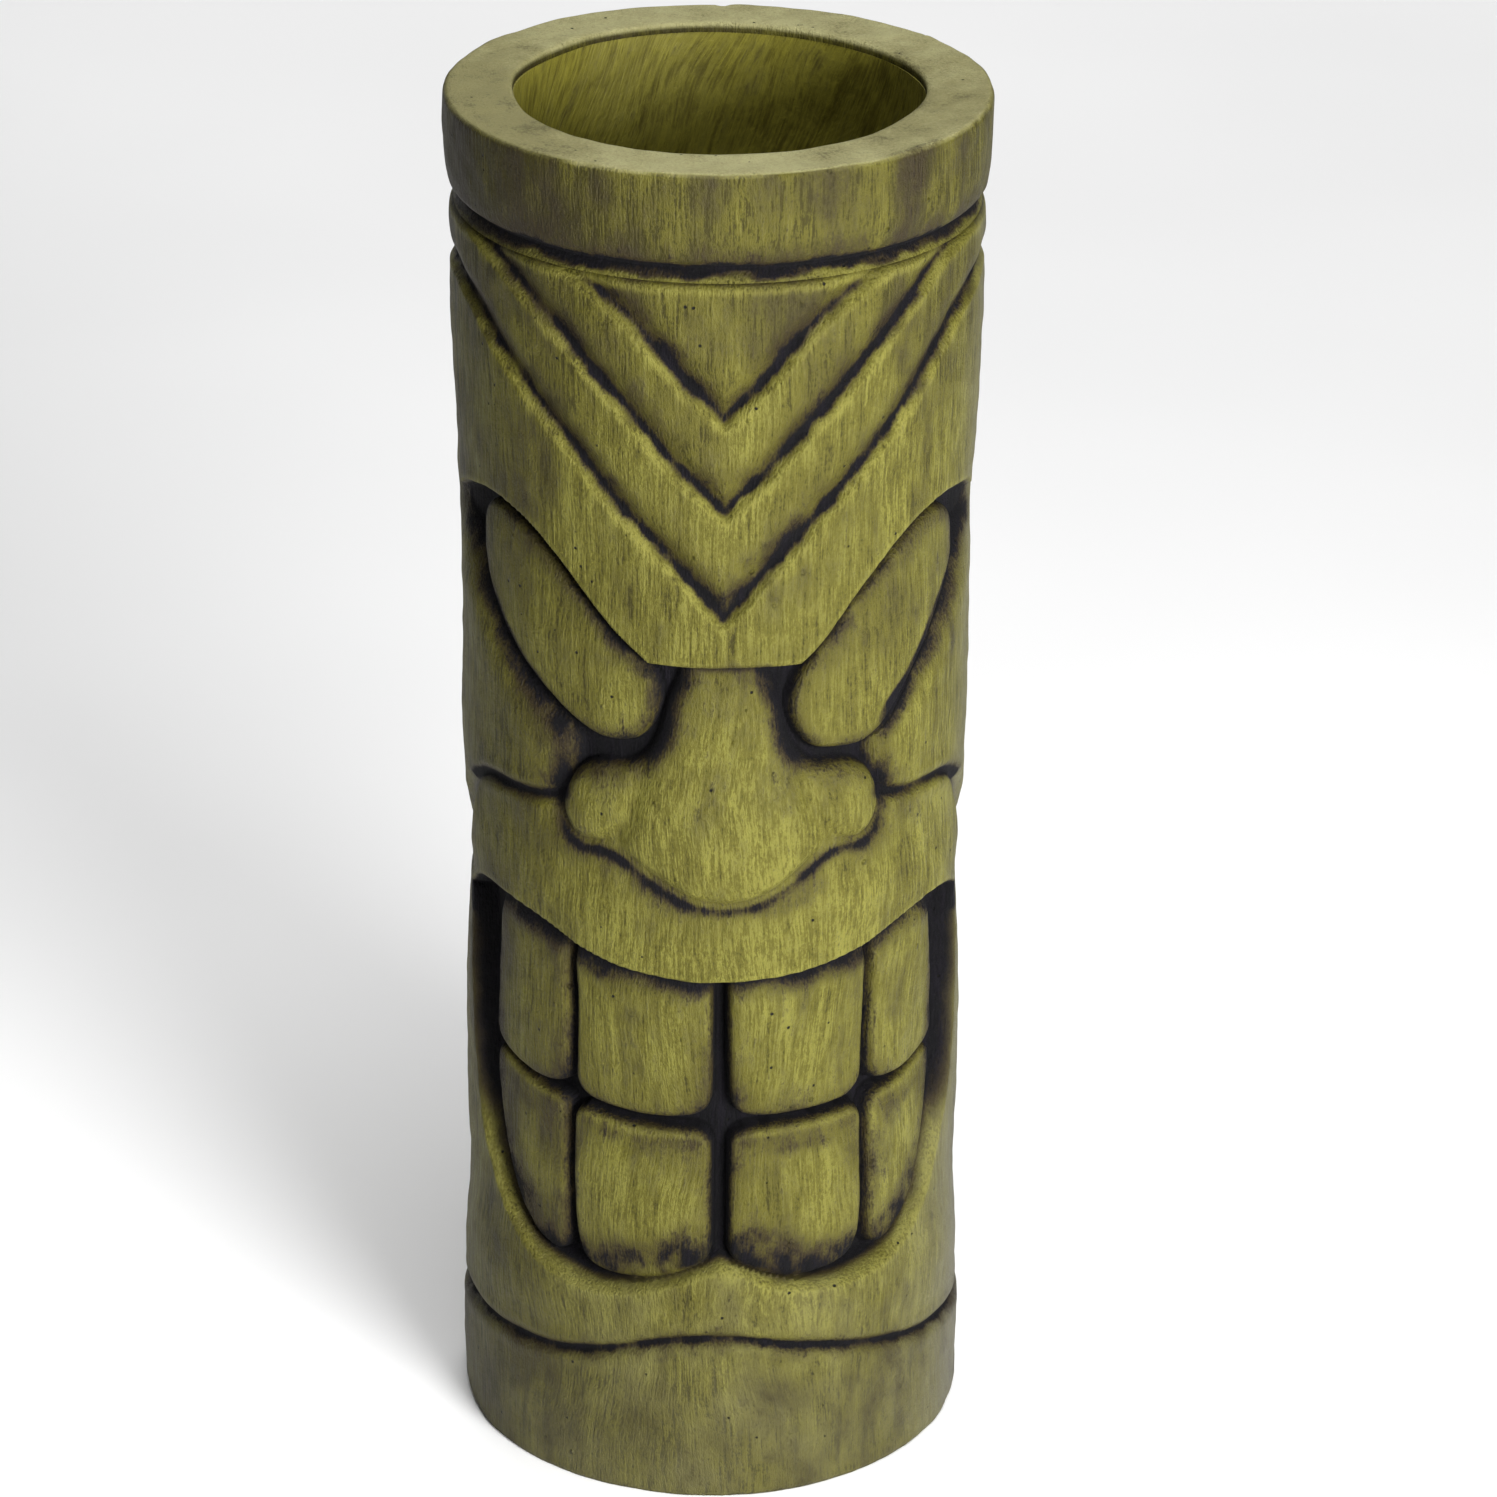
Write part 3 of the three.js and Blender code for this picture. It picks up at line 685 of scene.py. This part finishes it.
def rim_collar():
    """The cast collar: a rough outer band, a wide flat lip with hand-cut edges, and the plug under them."""
    seat = SHELL_TOP + GAP
    top = HEIGHT
    groove_top = seat + 6.5
    start = along([(136.3, seat), (132.5, groove_top)], 1.4)
    band = rounded_profile([
        (132.5, groove_top), (133.4, seat + 8.6), (136.4, seat + 9.8),
        (138.7, seat + 12.4), (139.9, seat + 18), (140.9, 728), (141.4, 742),
        (141.3, 753), (141.0, 757.3), (140.2, 759.2), (138.8, top - 0.25)], 1.2)
    lip = along([(138.8, top - 0.25), (134, top - 0.45), (112, top - 0.6), (108.8, top - 0.8)], 1.7)
    inner = rounded_profile([(108.8, top - 0.8), (107.4, top - 1.2), (106.7, top - 2.4),
                             (MOUTH_RADIUS, top - 4.2), (MOUTH_RADIUS, top - 6.2)], 0.9)
    hidden = [(134.0, top - 6.2), (134.0, top - 39), (SPIGOT_BORE, top - 53), (SPIGOT_BORE, SPIGOT_BOTTOM),
              (SPIGOT_RADIUS, SPIGOT_BOTTOM), (SPIGOT_RADIUS, seat)]
    profile = start[:-1] + band[:-1] + lip[:-1] + inner + hidden
    seen = len(profile) - len(hidden)

    def shape(angle, radius, height):
        turn = np.radians(angle)
        x, y = radius * np.sin(turn), -radius * np.cos(turn)
        outer = ramp(124, 140, radius) * ramp(seat + 6, seat + 14, height)
        rough = 0.35 * lumps(angle, height, 60, 21) + 0.18 * lumps(angle, height, 16, 22)
        radius = radius + outer * rough
        # The band's top edge is worn unevenly, with small chips.
        near_edge = hump(radius, 139.5, 2.6) * ramp(top - 6, top - 1, height)
        chips = np.clip(lumps(angle, 0 * height, 13, 23) - 1.1, 0, 1)
        # The inner edge was cut by hand, and has a flatter stretch to the right.
        inner_edge = ramp(118, MOUTH_RADIUS, radius) * ramp(top - 12, top - 6, height)
        radius = radius + inner_edge * (hand_cut(angle) - 0.4) - near_edge * 0.9 * chips
        flat = ramp(top - 3, top - 0.8, height)
        height = height - near_edge * (0.7 * chips + 0.25) + flat * 0.22 * flat_lumps(x, y, 30, 25)
        height = height - flat * 0.25
        return np.where(radius > 0, radius, 0), np.minimum(height, top)

    angle, radius, height = turned_grid(profile, COLLAR_COLUMNS, shape)
    _, plain_radius, plain_height = turned_grid(profile, COLLAR_COLUMNS)
    radius[seen:], height[seen:] = plain_radius[seen:], plain_height[seen:]
    lip_flat = ramp(top - 4.5, top - 1.6, height) * ramp(140.8, 139.3, radius)
    low = height - seat
    ragged = 0.8 * lumps(angle, 0.2 * height, 4.5, 26) + 1.6 * lumps(angle, 0.5 * height, 30.0, 28)
    # Painted shadow: black in the corner under the overhanging band and darkening the band's lower part. A
    # patchy wash on the slope below it, with a bare spot near the middle.
    patchy = 0.85 + 0.3 * lumps(angle, 0.5 * height, 34, 29) - 0.6 * hump(angle, 3.0, 3.6)
    slope = ramp(7.0, 4.5, low)
    stained = ramp(1.0, 4.2, low + 0.8 * ragged)
    hollow_wash_and_shade = (0.85 * ramp(12.0, 7.5, low + ragged) * (1 - slope) + patchy * slope * stained
              + 0.4 * ramp(27, 8, low + 2 * ragged) * (1 - slope)) * (radius > 120)
    hollow_wash_and_shade += 0.4 * ramp(0.5, 1.8, lumps(angle, 0.4 * height, 70, 27)) * (radius > 136)
    rub = 0.5 * hump(radius, 139.6, 2.2) * ramp(top - 7, top - 2, height)
    rub += 0.45 * hump(radius, 107.5, 1.6) * ramp(top - 4, top - 1, height)
    rub += 0.7 * ramp(4.0, 1.0, low + 0.8 * ragged) * (radius > 131)
    attributes = {
        "wall": on_wall(angle, radius, height).reshape(-1, 3),
        "hollow_wash_and_shade": hollow_wash_and_shade.ravel(),
        "edge": rub.ravel(),
        "lip": lip_flat.ravel(),
        # Painted shade on both sides of the collar, most on the left.
        "painted_light_and_shade": (-1.1 * hump(angle, -80, 38) - 0.6 * hump(angle, 78, 38)).ravel(),
        # Grime, with painted shade down the left side.
        "grime_and_painted_shade": ((0.85 + 0.5 * ramp(15, 45, -angle)) * (1 - 0.7 * lip_flat)).ravel(),
    }
    return turned_mesh("rim_collar_cast", angle, radius, height, attributes)


def liner():
    """The straight inner pot: a hand-smoothed wall that is seen through the mouth, and its plain back."""
    bottom, top = liner_low[2], liner_high[2]
    inside = along([(MOUTH_RADIUS, top), (MOUTH_RADIUS, bottom)], 9.0)
    profile = inside + [(LINER_OUTER, bottom), (LINER_OUTER, top)]

    def shape(angle, radius, height):
        inner = radius < MOUTH_RADIUS + 1
        rough = 0.5 * lumps(angle, height, 110, 31) + 0.22 * lumps(angle, height * 0.5, 40, 32)
        near_top = ramp(top - 60, top, height)
        shift = np.minimum(rough, 0.9) + near_top * (hand_cut(angle) - 0.4)
        return radius + np.where(inner, shift, 0), height

    angle, radius, height = turned_grid(profile, LINER_COLUMNS, shape)
    slant = 0.42 * height / MOUTH_RADIUS + 0.03 * lumps(angle, height, 90, 33)
    attributes = {"wall": on_wall(angle + np.degrees(slant), radius, height).reshape(-1, 3)}
    return turned_mesh("liner_tube_wall", angle, radius, height, attributes)


def liner_bottom():
    """The floor of the hollow, with a slight dish and a fillet of resin round its edge."""
    low, high = floor_low[2], floor_high[2]
    radius_out = floor_high[0] - 0.4
    rings = [radius_out * share for share in (0.12, 0.3, 0.5, 0.68, 0.82, 0.92, 0.97, 1.0)]
    columns = FLOOR_COLUMNS
    angles = np.arange(columns) * 360.0 / columns
    turn = np.radians(angles)
    points = []
    for radius in rings:
        rise = 0.9 * ramp(0.85 * radius_out, radius_out, radius) - 0.6
        height = high - 0.5 + rise + 0.2 * flat_lumps(radius * np.sin(turn), radius * np.cos(turn), 60, 41)
        points.append(on_wall(angles, radius, np.minimum(height, high)))
    for radius in (radius_out, rings[0]):
        points.append(on_wall(angles, radius, low))
    rows = len(points)
    points = np.vstack(points)
    faces = [face[::-1] for face in grid_faces(rows, columns, closed=True)]
    faces.append(list(range(columns)))
    last = (rows - 1) * columns
    faces.append(list(range(last, last + columns))[::-1])
    return make_mesh("liner_floor_cast", points, faces, {"wall": points}, sharp_angle=40)


# ---- materials ----


def linear(red, green, blue):
    """A colour from its familiar 0 to 255 values."""
    def channel(value):
        value /= 255.0
        return value / 12.92 if value <= 0.04045 else ((value + 0.055) / 1.055) ** 2.4

    return (channel(red), channel(green), channel(blue), 1.0)


class Nodes:
    """Writes a material's node graph. Each call returns an output."""

    def __init__(self, name):
        self.material = bpy.data.materials.new(name)
        self.material.use_nodes = True
        self.tree = self.material.node_tree
        self.shader = self.tree.nodes["Principled BSDF"]

    def put(self, socket, value):
        if isinstance(value, bpy.types.NodeSocket):
            self.tree.links.new(value, socket)
        else:
            socket.default_value = value

    def node(self, kind, inputs, **settings):
        made = self.tree.nodes.new("ShaderNode" + kind)
        for key, value in settings.items():
            setattr(made, key, value)
        for key, value in inputs.items():
            self.put(made.inputs[key], value)
        return made

    def place(self):
        return self.node("TexCoord", {}).outputs["Object"]

    def attribute(self, name, output="Fac"):
        return self.node("Attribute", {}, attribute_name=name).outputs[output]

    def scaled(self, vector, factors, shift=(0.0, 0.0, 0.0)):
        return self.node("VectorMath", {0: vector, 1: factors, 2: shift}, operation="MULTIPLY_ADD").outputs[0]

    def noise(self, vector, factors, shift=(0.0, 0.0, 0.0), detail=3.0, roughness=0.55, distortion=0.0):
        """A noise with about as many lumps in a unit of length as its factors, along each axis."""
        made = self.node("TexNoise", {
            "Vector": self.scaled(vector, factors, shift), "Scale": 1.0,
            "Detail": detail, "Roughness": roughness, "Distortion": distortion})
        return made.outputs["Fac"]

    def cells(self, vector, scale):
        """The distance to the nearest of many scattered points, and a random number for each point."""
        made = self.node("TexVoronoi", {"Vector": vector, "Scale": scale})
        return made.outputs["Distance"], made.outputs["Color"]

    def math(self, operation, *terms):
        return self.node("Math", dict(enumerate(terms)), operation=operation).outputs[0]

    def add(self, *terms):
        total = terms[0]
        for term in terms[1:]:
            total = self.math("ADD", total, term)
        return total

    def times(self, a, b):
        return self.math("MULTIPLY", a, b)

    def centred(self, noise, amount):
        """A noise moved to swing about zero, between plus and minus about half the amount."""
        return self.math("MULTIPLY_ADD", noise, amount, -0.5 * amount)

    def weighted(self, *parts):
        """A sum of (value, weight) parts."""
        return self.add(*[self.times(value, weight) for value, weight in parts])

    def swung(self, start, *noises):
        """A start plus (noise, amount) parts that swing about zero."""
        return self.add(start, *[self.centred(noise, amount) for noise, amount in noises])

    def ease(self, value, low, high, start=0.0, end=1.0):
        ends = {"Value": value, "From Min": low, "From Max": high, "To Min": start, "To Max": end}
        return self.node("MapRange", ends, interpolation_type="SMOOTHSTEP").outputs[0]

    def mix(self, share, a, b):
        return self.node("Mix", {0: share, 6: a, 7: b}, data_type="RGBA").outputs[2]

    def bump(self, height, distance_mm):
        return self.node("Bump", {"Strength": 1.0, "Distance": distance_mm * MM, "Height": height}).outputs[0]

    def finish(self, colour, roughness, normal=None, **constants):
        self.put(self.shader.inputs["Base Color"], colour)
        self.put(self.shader.inputs["Roughness"], roughness)
        if normal is not None:
            self.put(self.shader.inputs["Normal"], normal)
        for key, value in constants.items():
            self.shader.inputs[key.replace("_", " ")].default_value = value
        return self.material


OLIVE = linear(83, 79, 25)
OLIVE_LIGHT = linear(117, 114, 49)
OLIVE_DEEP = linear(52, 48, 11)
UMBER_WASH_AND_SHADE = linear(38, 28, 12)
WASH_AND_SHADE_DARK = linear(6, 6, 9)
WASH_AND_SHADE_PALE = linear(12, 10, 17)
SMUDGE = linear(42, 35, 23)
RUBBED = linear(116, 112, 50)
DUST_AND_SHEEN = linear(95, 92, 73)
LINER_LIGHT = linear(142, 136, 50)
LINER_DEEP = linear(84, 78, 20)
LIP_GREY = linear(169, 165, 119)
LIP_OLIVE = linear(134, 129, 86)


def antique_paint():
    """Brushed olive paint over rough resin, with a dark wash and painted shade in the hollows, rubbed light
    edges, and painted light and shade across the face.
    """
    n = Nodes("antique_olive_paint")
    wall = n.attribute("wall", "Vector")
    hollow_wash_and_shade, lip, grime_and_painted_shade, edge, dust_and_sheen, painted_light_and_shade, crisp = (
        n.attribute(key) for key in ("hollow_wash_and_shade", "lip", "grime_and_painted_shade", "edge", "dust_and_sheen", "painted_light_and_shade", "crisp"))

    # Brush marks run mostly up and down the wall, over a faintly mottled ground.
    bristles = n.noise(wall, (0.8, 0.8, 0.05), detail=2.5, roughness=0.62)
    strokes = n.noise(wall, (0.2, 0.2, 0.014), (31.0, 7.0, 3.0), detail=3.0)
    cloud = n.noise(wall, (0.022, 0.022, 0.016), (3.0, 11.0, 5.0), detail=3.0)
    mottle = n.noise(wall, (0.09, 0.09, 0.055), (5.0, 2.0, 8.0), detail=6.0, roughness=0.7)
    speck = n.noise(wall, (0.75, 0.75, 0.45), (13.0, 1.0, 9.0), detail=3.0, roughness=0.7)

    tone = n.swung(0.65, (bristles, 1.7), (strokes, 1.0), (mottle, 1.1), (cloud, 0.7), (speck, 1.2))
    # Painted light and shade make the middle of the face lighter and its sides and top darker; grime and
    # painted shade darken it too.
    tone = n.add(tone, n.weighted((edge, 0.25), (painted_light_and_shade, 0.22), (grime_and_painted_shade, -0.32)))
    colour = n.mix(n.ease(tone, 0.05, 0.5), OLIVE_DEEP, OLIVE)
    colour = n.mix(n.ease(tone, 0.5, 1.05), colour, OLIVE_LIGHT)

    # A paler dust that thickens towards the foot, and a painted grey sheen down the far right side.
    colour = n.mix(n.ease(n.swung(dust_and_sheen, (cloud, 0.5), (mottle, 0.3)), 0.05, 1.0), colour, DUST_AND_SHEEN)

    # Brown-violet smudges, where the wash was wiped but not cleaned off; they gather more where the grime,
    # the wash and the painted shade lie.
    patch = n.noise(wall, (0.035, 0.035, 0.02), (71.0, 3.0, 2.0), detail=5.0, roughness=0.64)
    smudge = n.swung(patch, (bristles, 0.4), (speck, 0.4), (mottle, 0.3))
    smudge = n.add(smudge, n.weighted((grime_and_painted_shade, 0.16), (hollow_wash_and_shade, 0.3)))
    colour = n.mix(n.ease(smudge, 0.53, 0.88, 0.0, 0.8), colour, SMUDGE)

    # Lip: a matt grey-olive, finely grained, with faint blotches.
    place = n.place()
    grain = n.noise(place, (620.0, 620.0, 620.0), detail=4.0, roughness=0.7)
    blotch = n.noise(place, (40.0, 40.0, 40.0), detail=6.0, roughness=0.62)
    # Painted light and shade on the lip: darker towards its sides, most on the left.
    lip_tone = n.add(n.swung(0.55, (blotch, 1.2), (grain, 0.9)), n.times(painted_light_and_shade, 0.55))
    lip_colour = n.mix(n.ease(lip_tone, 0.1, 0.8), LIP_OLIVE, LIP_GREY)
    stain = n.add(n.swung(blotch, (grain, 0.5)), n.times(painted_light_and_shade, 0.1))
    lip_colour = n.mix(n.ease(stain, 0.38, 0.2, 0.0, 0.5), lip_colour, SMUDGE)
    colour = n.mix(n.times(lip, 0.96), colour, lip_colour)

    # Rubbed edges and dry brushing.
    loaded = n.swung(n.centred(bristles, 1.4), (speck, 1.0))
    rub = n.ease(n.math("MULTIPLY_ADD", loaded, n.ease(crisp, 0.0, 1.0, 1.0, 0.4), edge), 0.25, 1.1, 0.0, 0.6)
    colour = n.mix(rub, colour, RUBBED)

    # The wash and painted shade in the hollows end in a ragged fringe of bristle marks, under a brown umber
    # veil of painted shade that spreads round them.
    frayed = n.swung(n.centred(bristles, 0.8), (strokes, 0.5), (speck, 0.9), (mottle, 1.0))
    fringe = n.math("MULTIPLY_ADD", frayed, n.ease(crisp, 0.0, 1.0, 1.0, 0.25), hollow_wash_and_shade)
    veil = n.ease(fringe, 0.04, 0.7, 0.0, 0.84)
    dark = n.ease(fringe, 0.46, 0.95, 0.0, 0.98)
    wash_and_shade = n.mix(n.ease(n.swung(strokes, (speck, 0.6)), 0.4, 0.75), WASH_AND_SHADE_DARK, WASH_AND_SHADE_PALE)
    colour = n.mix(dark, n.mix(veil, colour, UMBER_WASH_AND_SHADE), wash_and_shade)

    # Pinholes and small bubbles of the gel coat.
    near, cell = n.cells(wall, 0.11)
    chosen = n.ease(n.swung(cell, (cloud, 1.4)), 0.72, 0.76)
    pinhole = n.times(n.ease(n.swung(near, (speck, 0.05)), 0.11, 0.06), chosen)
    colour = n.mix(pinhole, colour, linear(16, 15, 12))
    blister, blister_cell = n.cells(n.scaled(wall, (1.0, 1.0, 1.0), (57.0, 23.0, 5.0)), 0.055)
    dome = n.times(n.ease(blister, 0.11, 0.02), n.ease(blister_cell, 0.7, 0.72))

    # A few patches where the paint has wrinkled.
    wrinkle = n.noise(wall, (0.28, 0.28, 0.2), (4.0, 44.0, 9.0), detail=2.0, distortion=1.5)
    ridge = n.ease(n.math("ABSOLUTE", n.centred(wrinkle, 1.0)), 0.03, 0.0)
    wrinkled = n.times(ridge, n.ease(n.swung(patch, (mottle, 0.3)), 0.66, 0.72))

    relief = n.weighted((bristles, 0.9), (strokes, 0.4), (speck, 1.1), (mottle, 0.8),
                        (n.times(grain, lip), 0.8), (dome, 2.0), (pinhole, -2.0), (wrinkled, 1.2))
    normal = n.bump(relief, 0.95)
    roughness = n.add(n.ease(bristles, 0.3, 0.75, 0.58, 0.44), n.times(lip, 0.2), n.times(dark, 0.35))
    return n.finish(colour, roughness, normal, Specular_IOR_Level=0.16)


def liner_paint():
    """Thinner olive inside, scrubbed on in slanting strokes, with smudges of wash down the wall."""
    n = Nodes("liner_paint")
    wall = n.attribute("wall", "Vector")
    bristles = n.noise(wall, (0.6, 0.6, 0.05), detail=4.0, roughness=0.66)
    strokes = n.noise(wall, (0.1, 0.1, 0.02), (17.0, 3.0, 3.0), detail=5.0, roughness=0.65)
    cloud = n.noise(wall, (0.05, 0.05, 0.04), (5.0, 2.0, 4.0), detail=6.0, roughness=0.7)
    tone = n.swung(0.5, (bristles, 1.3), (strokes, 1.0), (cloud, 1.2))
    colour = n.mix(n.ease(tone, 0.1, 0.95), LINER_DEEP, LINER_LIGHT)
    streak = n.ease(n.swung(strokes, (bristles, 0.5), (cloud, 0.7)), 0.52, 0.78, 0.0, 0.75)
    colour = n.mix(streak, colour, SMUDGE)
    relief = n.weighted((bristles, 0.8), (cloud, 1.6))
    roughness = n.ease(bristles, 0.3, 0.7, 0.66, 0.5)
    return n.finish(colour, roughness, n.bump(relief, 0.9), Specular_IOR_Level=0.3)


def grain_wood(name, light, dark, along_axis, plies=False):
    """Bare wood with its grain along one axis; plywood also shows its plies through the thickness."""
    n = Nodes(name)
    place = n.place()
    stretch = [130.0, 130.0, 130.0]
    stretch[along_axis] = 12.0
    grain = n.noise(place, tuple(stretch), detail=6.0, roughness=0.65, distortion=0.4)
    fibre = n.noise(place, tuple(6.0 * s for s in stretch), detail=3.0)
    colour = n.mix(n.ease(n.swung(grain, (fibre, 0.3)), 0.35, 0.68), dark, light)
    if plies:
        sizes = {"Vector": place, "Scale": 130.0, "Distortion": 0.6}
        layers = n.node("TexWave", sizes, wave_type="BANDS", bands_direction="Z")
        colour = n.mix(n.ease(layers.outputs["Fac"], 0.35, 0.65, 0.0, 0.35), colour, dark)
    relief = n.add(grain, n.times(fibre, 0.5))
    return n.finish(colour, n.ease(grain, 0.3, 0.7, 0.82, 0.65), n.bump(relief, 0.25), Specular_IOR_Level=0.3)


def glass_laminate():
    """Bare chopped-strand laminate: pale green resin with a tangle of fibres."""
    n = Nodes("laminate_bare")
    place = n.place()
    fibres = n.noise(place, (500.0, 90.0, 260.0), detail=4.0, distortion=1.2)
    crossing = n.noise(place, (90.0, 480.0, 60.0), (4.0, 2.0, 1.0), detail=4.0, distortion=1.4)
    tangle = n.math("MAXIMUM", fibres, crossing)
    colour = n.mix(n.ease(tangle, 0.45, 0.7), linear(132, 136, 92), linear(196, 198, 160))
    return n.finish(colour, n.ease(tangle, 0.4, 0.7, 0.35, 0.6), n.bump(tangle, 0.4), Specular_IOR_Level=0.5)


def zinc_plate():
    """Zinc-plated steel with faint turning marks and dull spots."""
    n = Nodes("zinc_plated")
    place = n.place()
    spots = n.noise(place, (700.0, 700.0, 700.0), detail=4.0)
    marks = n.noise(place, (150.0, 150.0, 3000.0), detail=2.0)
    colour = n.mix(n.ease(spots, 0.4, 0.65), linear(150, 152, 150), linear(196, 198, 200))
    return n.finish(colour, n.ease(spots, 0.35, 0.65, 0.45, 0.28), n.bump(marks, 0.05), Metallic=1.0)


def studio_floor_paint():
    n = Nodes("studio_floor")
    place = n.place()
    soft = n.noise(place, (1.2, 1.2, 1.2), detail=2.0)
    colour = n.mix(n.ease(soft, 0.3, 0.7), linear(246, 246, 246), linear(250, 250, 250))
    return n.finish(colour, 0.9, Specular_IOR_Level=0.1)


# ---- the pieces ----

PITCH = 1.3  # millimetres between rows of the carved surface

shell_heights = np.linspace(0.0, SHELL_TOP, round(SHELL_TOP / PITCH) + 1)


def add_wear_and_painted_light(piece):
    """Where the wash was left dirty, with painted shade down the left side; where a pale dust lies, with a
    painted grey sheen down the far right side; and painted light and shade, lighter over the middle and right
    of the face and darker towards the top.
    """
    mesh = piece.data
    count = len(mesh.vertices)
    place = np.zeros(count * 3, np.float32)
    mesh.vertices.foreach_get("co", place)
    x, y, height = place.reshape(-1, 3).T / MM
    angle = np.degrees(np.arctan2(x, -y))
    dirt_and_painted_shade = 0.2 + 0.4 * ramp(82, 58, height) + 0.35 * ramp(600, SHELL_TOP, height)
    # Painted shade down the left side of the body; the bands at the foot and the top are grime.
    dirt_and_painted_shade += 0.3 * ramp(24, 50, -angle)
    # Painted light across the middle of the face and on its right side, and painted shade towards the top.
    painted_light_and_shade = 0.7 * hump(angle, 0.0, 38.0) * hump(height, 380.0, 80.0) + 0.3 * hump(height, 200.0, 80.0)
    painted_light_and_shade += 0.3 * hump(angle, 58.0, 16.0)
    painted_light_and_shade -= 0.35 * ramp(560, 640, height)
    write_attributes(mesh, {
        "grime_and_painted_shade": dirt_and_painted_shade,
        # A pale dust towards the foot, and a painted grey sheen down the far right side.
        "dust_and_sheen": 0.5 * ramp(330, 10, height) + 0.6 * hump(angle, 82, 20) - 0.12,
        "painted_light_and_shade": painted_light_and_shade,
        "lip": np.zeros(count),
    })


front = shell("front_shell_carved", -90.0, 90.0, 1.25, shell_heights)
back = shell("back_shell_moulded", 90.0, 270.0, 3.2, shell_heights)
for piece in (front, back):
    add_wear_and_painted_light(piece)
collar = rim_collar()
tube = liner()
bottom = liner_bottom()

body_paint = antique_paint()
inside_paint = liner_paint()
for piece, node, slot, material in (
    (front, "front_shell", "painted_resin", body_paint),
    (back, "back_shell", "painted_resin", body_paint),
    (collar, "rim_collar", "painted_resin", body_paint),
    (tube, "liner_tube", "liner_paint", inside_paint),
    (bottom, "liner_floor", "liner_paint", inside_paint),
):
    piece.data.materials.append(material)
    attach(piece, "root")
    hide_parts(node)

# ---- carried-over CAD pieces ----

carried = {
    "base_plate": grain_wood("plywood_birch", linear(206, 172, 122), linear(150, 112, 66), 0, plies=True),
    "centring_ring": grain_wood("plywood_ring", linear(200, 166, 116), linear(146, 108, 64), 1, plies=True),
    "seam_strip": glass_laminate(),
    "base_cleat": grain_wood("softwood_block", linear(214, 182, 132), linear(168, 126, 78), 2),
    "base_screw": zinc_plate(),
}
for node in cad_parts:
    for start, material in carried.items():
        if node.startswith(start):
            bpy.data.objects[node].material_slots[0].material = material

# ---- studio ----

scene = bpy.context.scene
scene.view_settings.view_transform = "Standard"


def studio_floor():
    """A pale floor, wide enough to fill the view, that curves up into a backdrop well behind the mug."""
    half_width = 9.0
    front_edge, bend_start, bend_radius = -6.0, 7.5, 3.0
    section = [(front_edge, 0.0), (bend_start, 0.0)]
    section += [
        (bend_start + bend_radius * math.sin(turn), bend_radius * (1 - math.cos(turn)))
        for turn in (math.radians(6 * step) for step in range(1, 16))
    ]
    points = [(x / MM, y / MM, z / MM) for y, z in section for x in (-half_width, half_width)]
    faces = [[2 * i, 2 * i + 1, 2 * i + 3, 2 * i + 2] for i in range(len(section) - 1)]
    floor = make_mesh("studio_floor", points, faces)
    floor.data.materials.append(studio_floor_paint())


def soft_light(name, place, aim, size, watts):
    lamp = bpy.data.lights.new(name, "AREA")
    lamp.shape = "DISK"
    lamp.size = size
    lamp.energy = watts
    light = bpy.data.objects.new(name, lamp)
    light.location = place
    light.rotation_euler = (Vector(aim) - Vector(place)).to_track_quat("-Z", "Y").to_euler()
    scene.collection.objects.link(light)


def camera():
    """Looks down on the mug from standing height, turned a little to the face's left."""
    distance_out, eye_height = 2.7814, 1.6686
    bearing, heading = math.radians(2.0), math.radians(2.38)
    pitch, roll = math.radians(24.76), math.radians(0.53)
    data = bpy.data.cameras.new("camera")
    data.sensor_width = 36.0
    data.lens = 136.6
    data.clip_end = 60.0
    eye = bpy.data.objects.new("camera", data)
    scene.collection.objects.link(eye)
    level = math.cos(pitch)
    forward = Vector((math.sin(heading) * level, math.cos(heading) * level, -math.sin(pitch)))
    right = forward.cross(Vector((0, 0, 1))).normalized()
    up = right.cross(forward)
    tilted_right = math.cos(roll) * right + math.sin(roll) * up
    tilted_up = math.cos(roll) * up - math.sin(roll) * right
    place = Matrix((tilted_right, tilted_up, -forward)).transposed().to_4x4()
    place.translation = (-distance_out * math.sin(bearing), -distance_out * math.cos(bearing), eye_height)
    eye.matrix_world = place
    scene.camera = eye


world = bpy.data.worlds.new("studio_air")
world.use_nodes = True
world.node_tree.nodes["Background"].inputs["Color"].default_value = (1.0, 1.0, 1.0, 1.0)
world.node_tree.nodes["Background"].inputs["Strength"].default_value = 0.06
scene.world = world

studio_floor()
soft_light("key_light", (1.2, -2.35, 0.95), (0, 0, 0.34), 1.2, 136)
soft_light("top_light", (0.1, -0.6, 3.0), (0, 0, 0), 1.6, 46)
soft_light("backdrop_light", (0.0, 5.0, 5.0), (0, 5.2, 0), 5.0, 260)
camera()
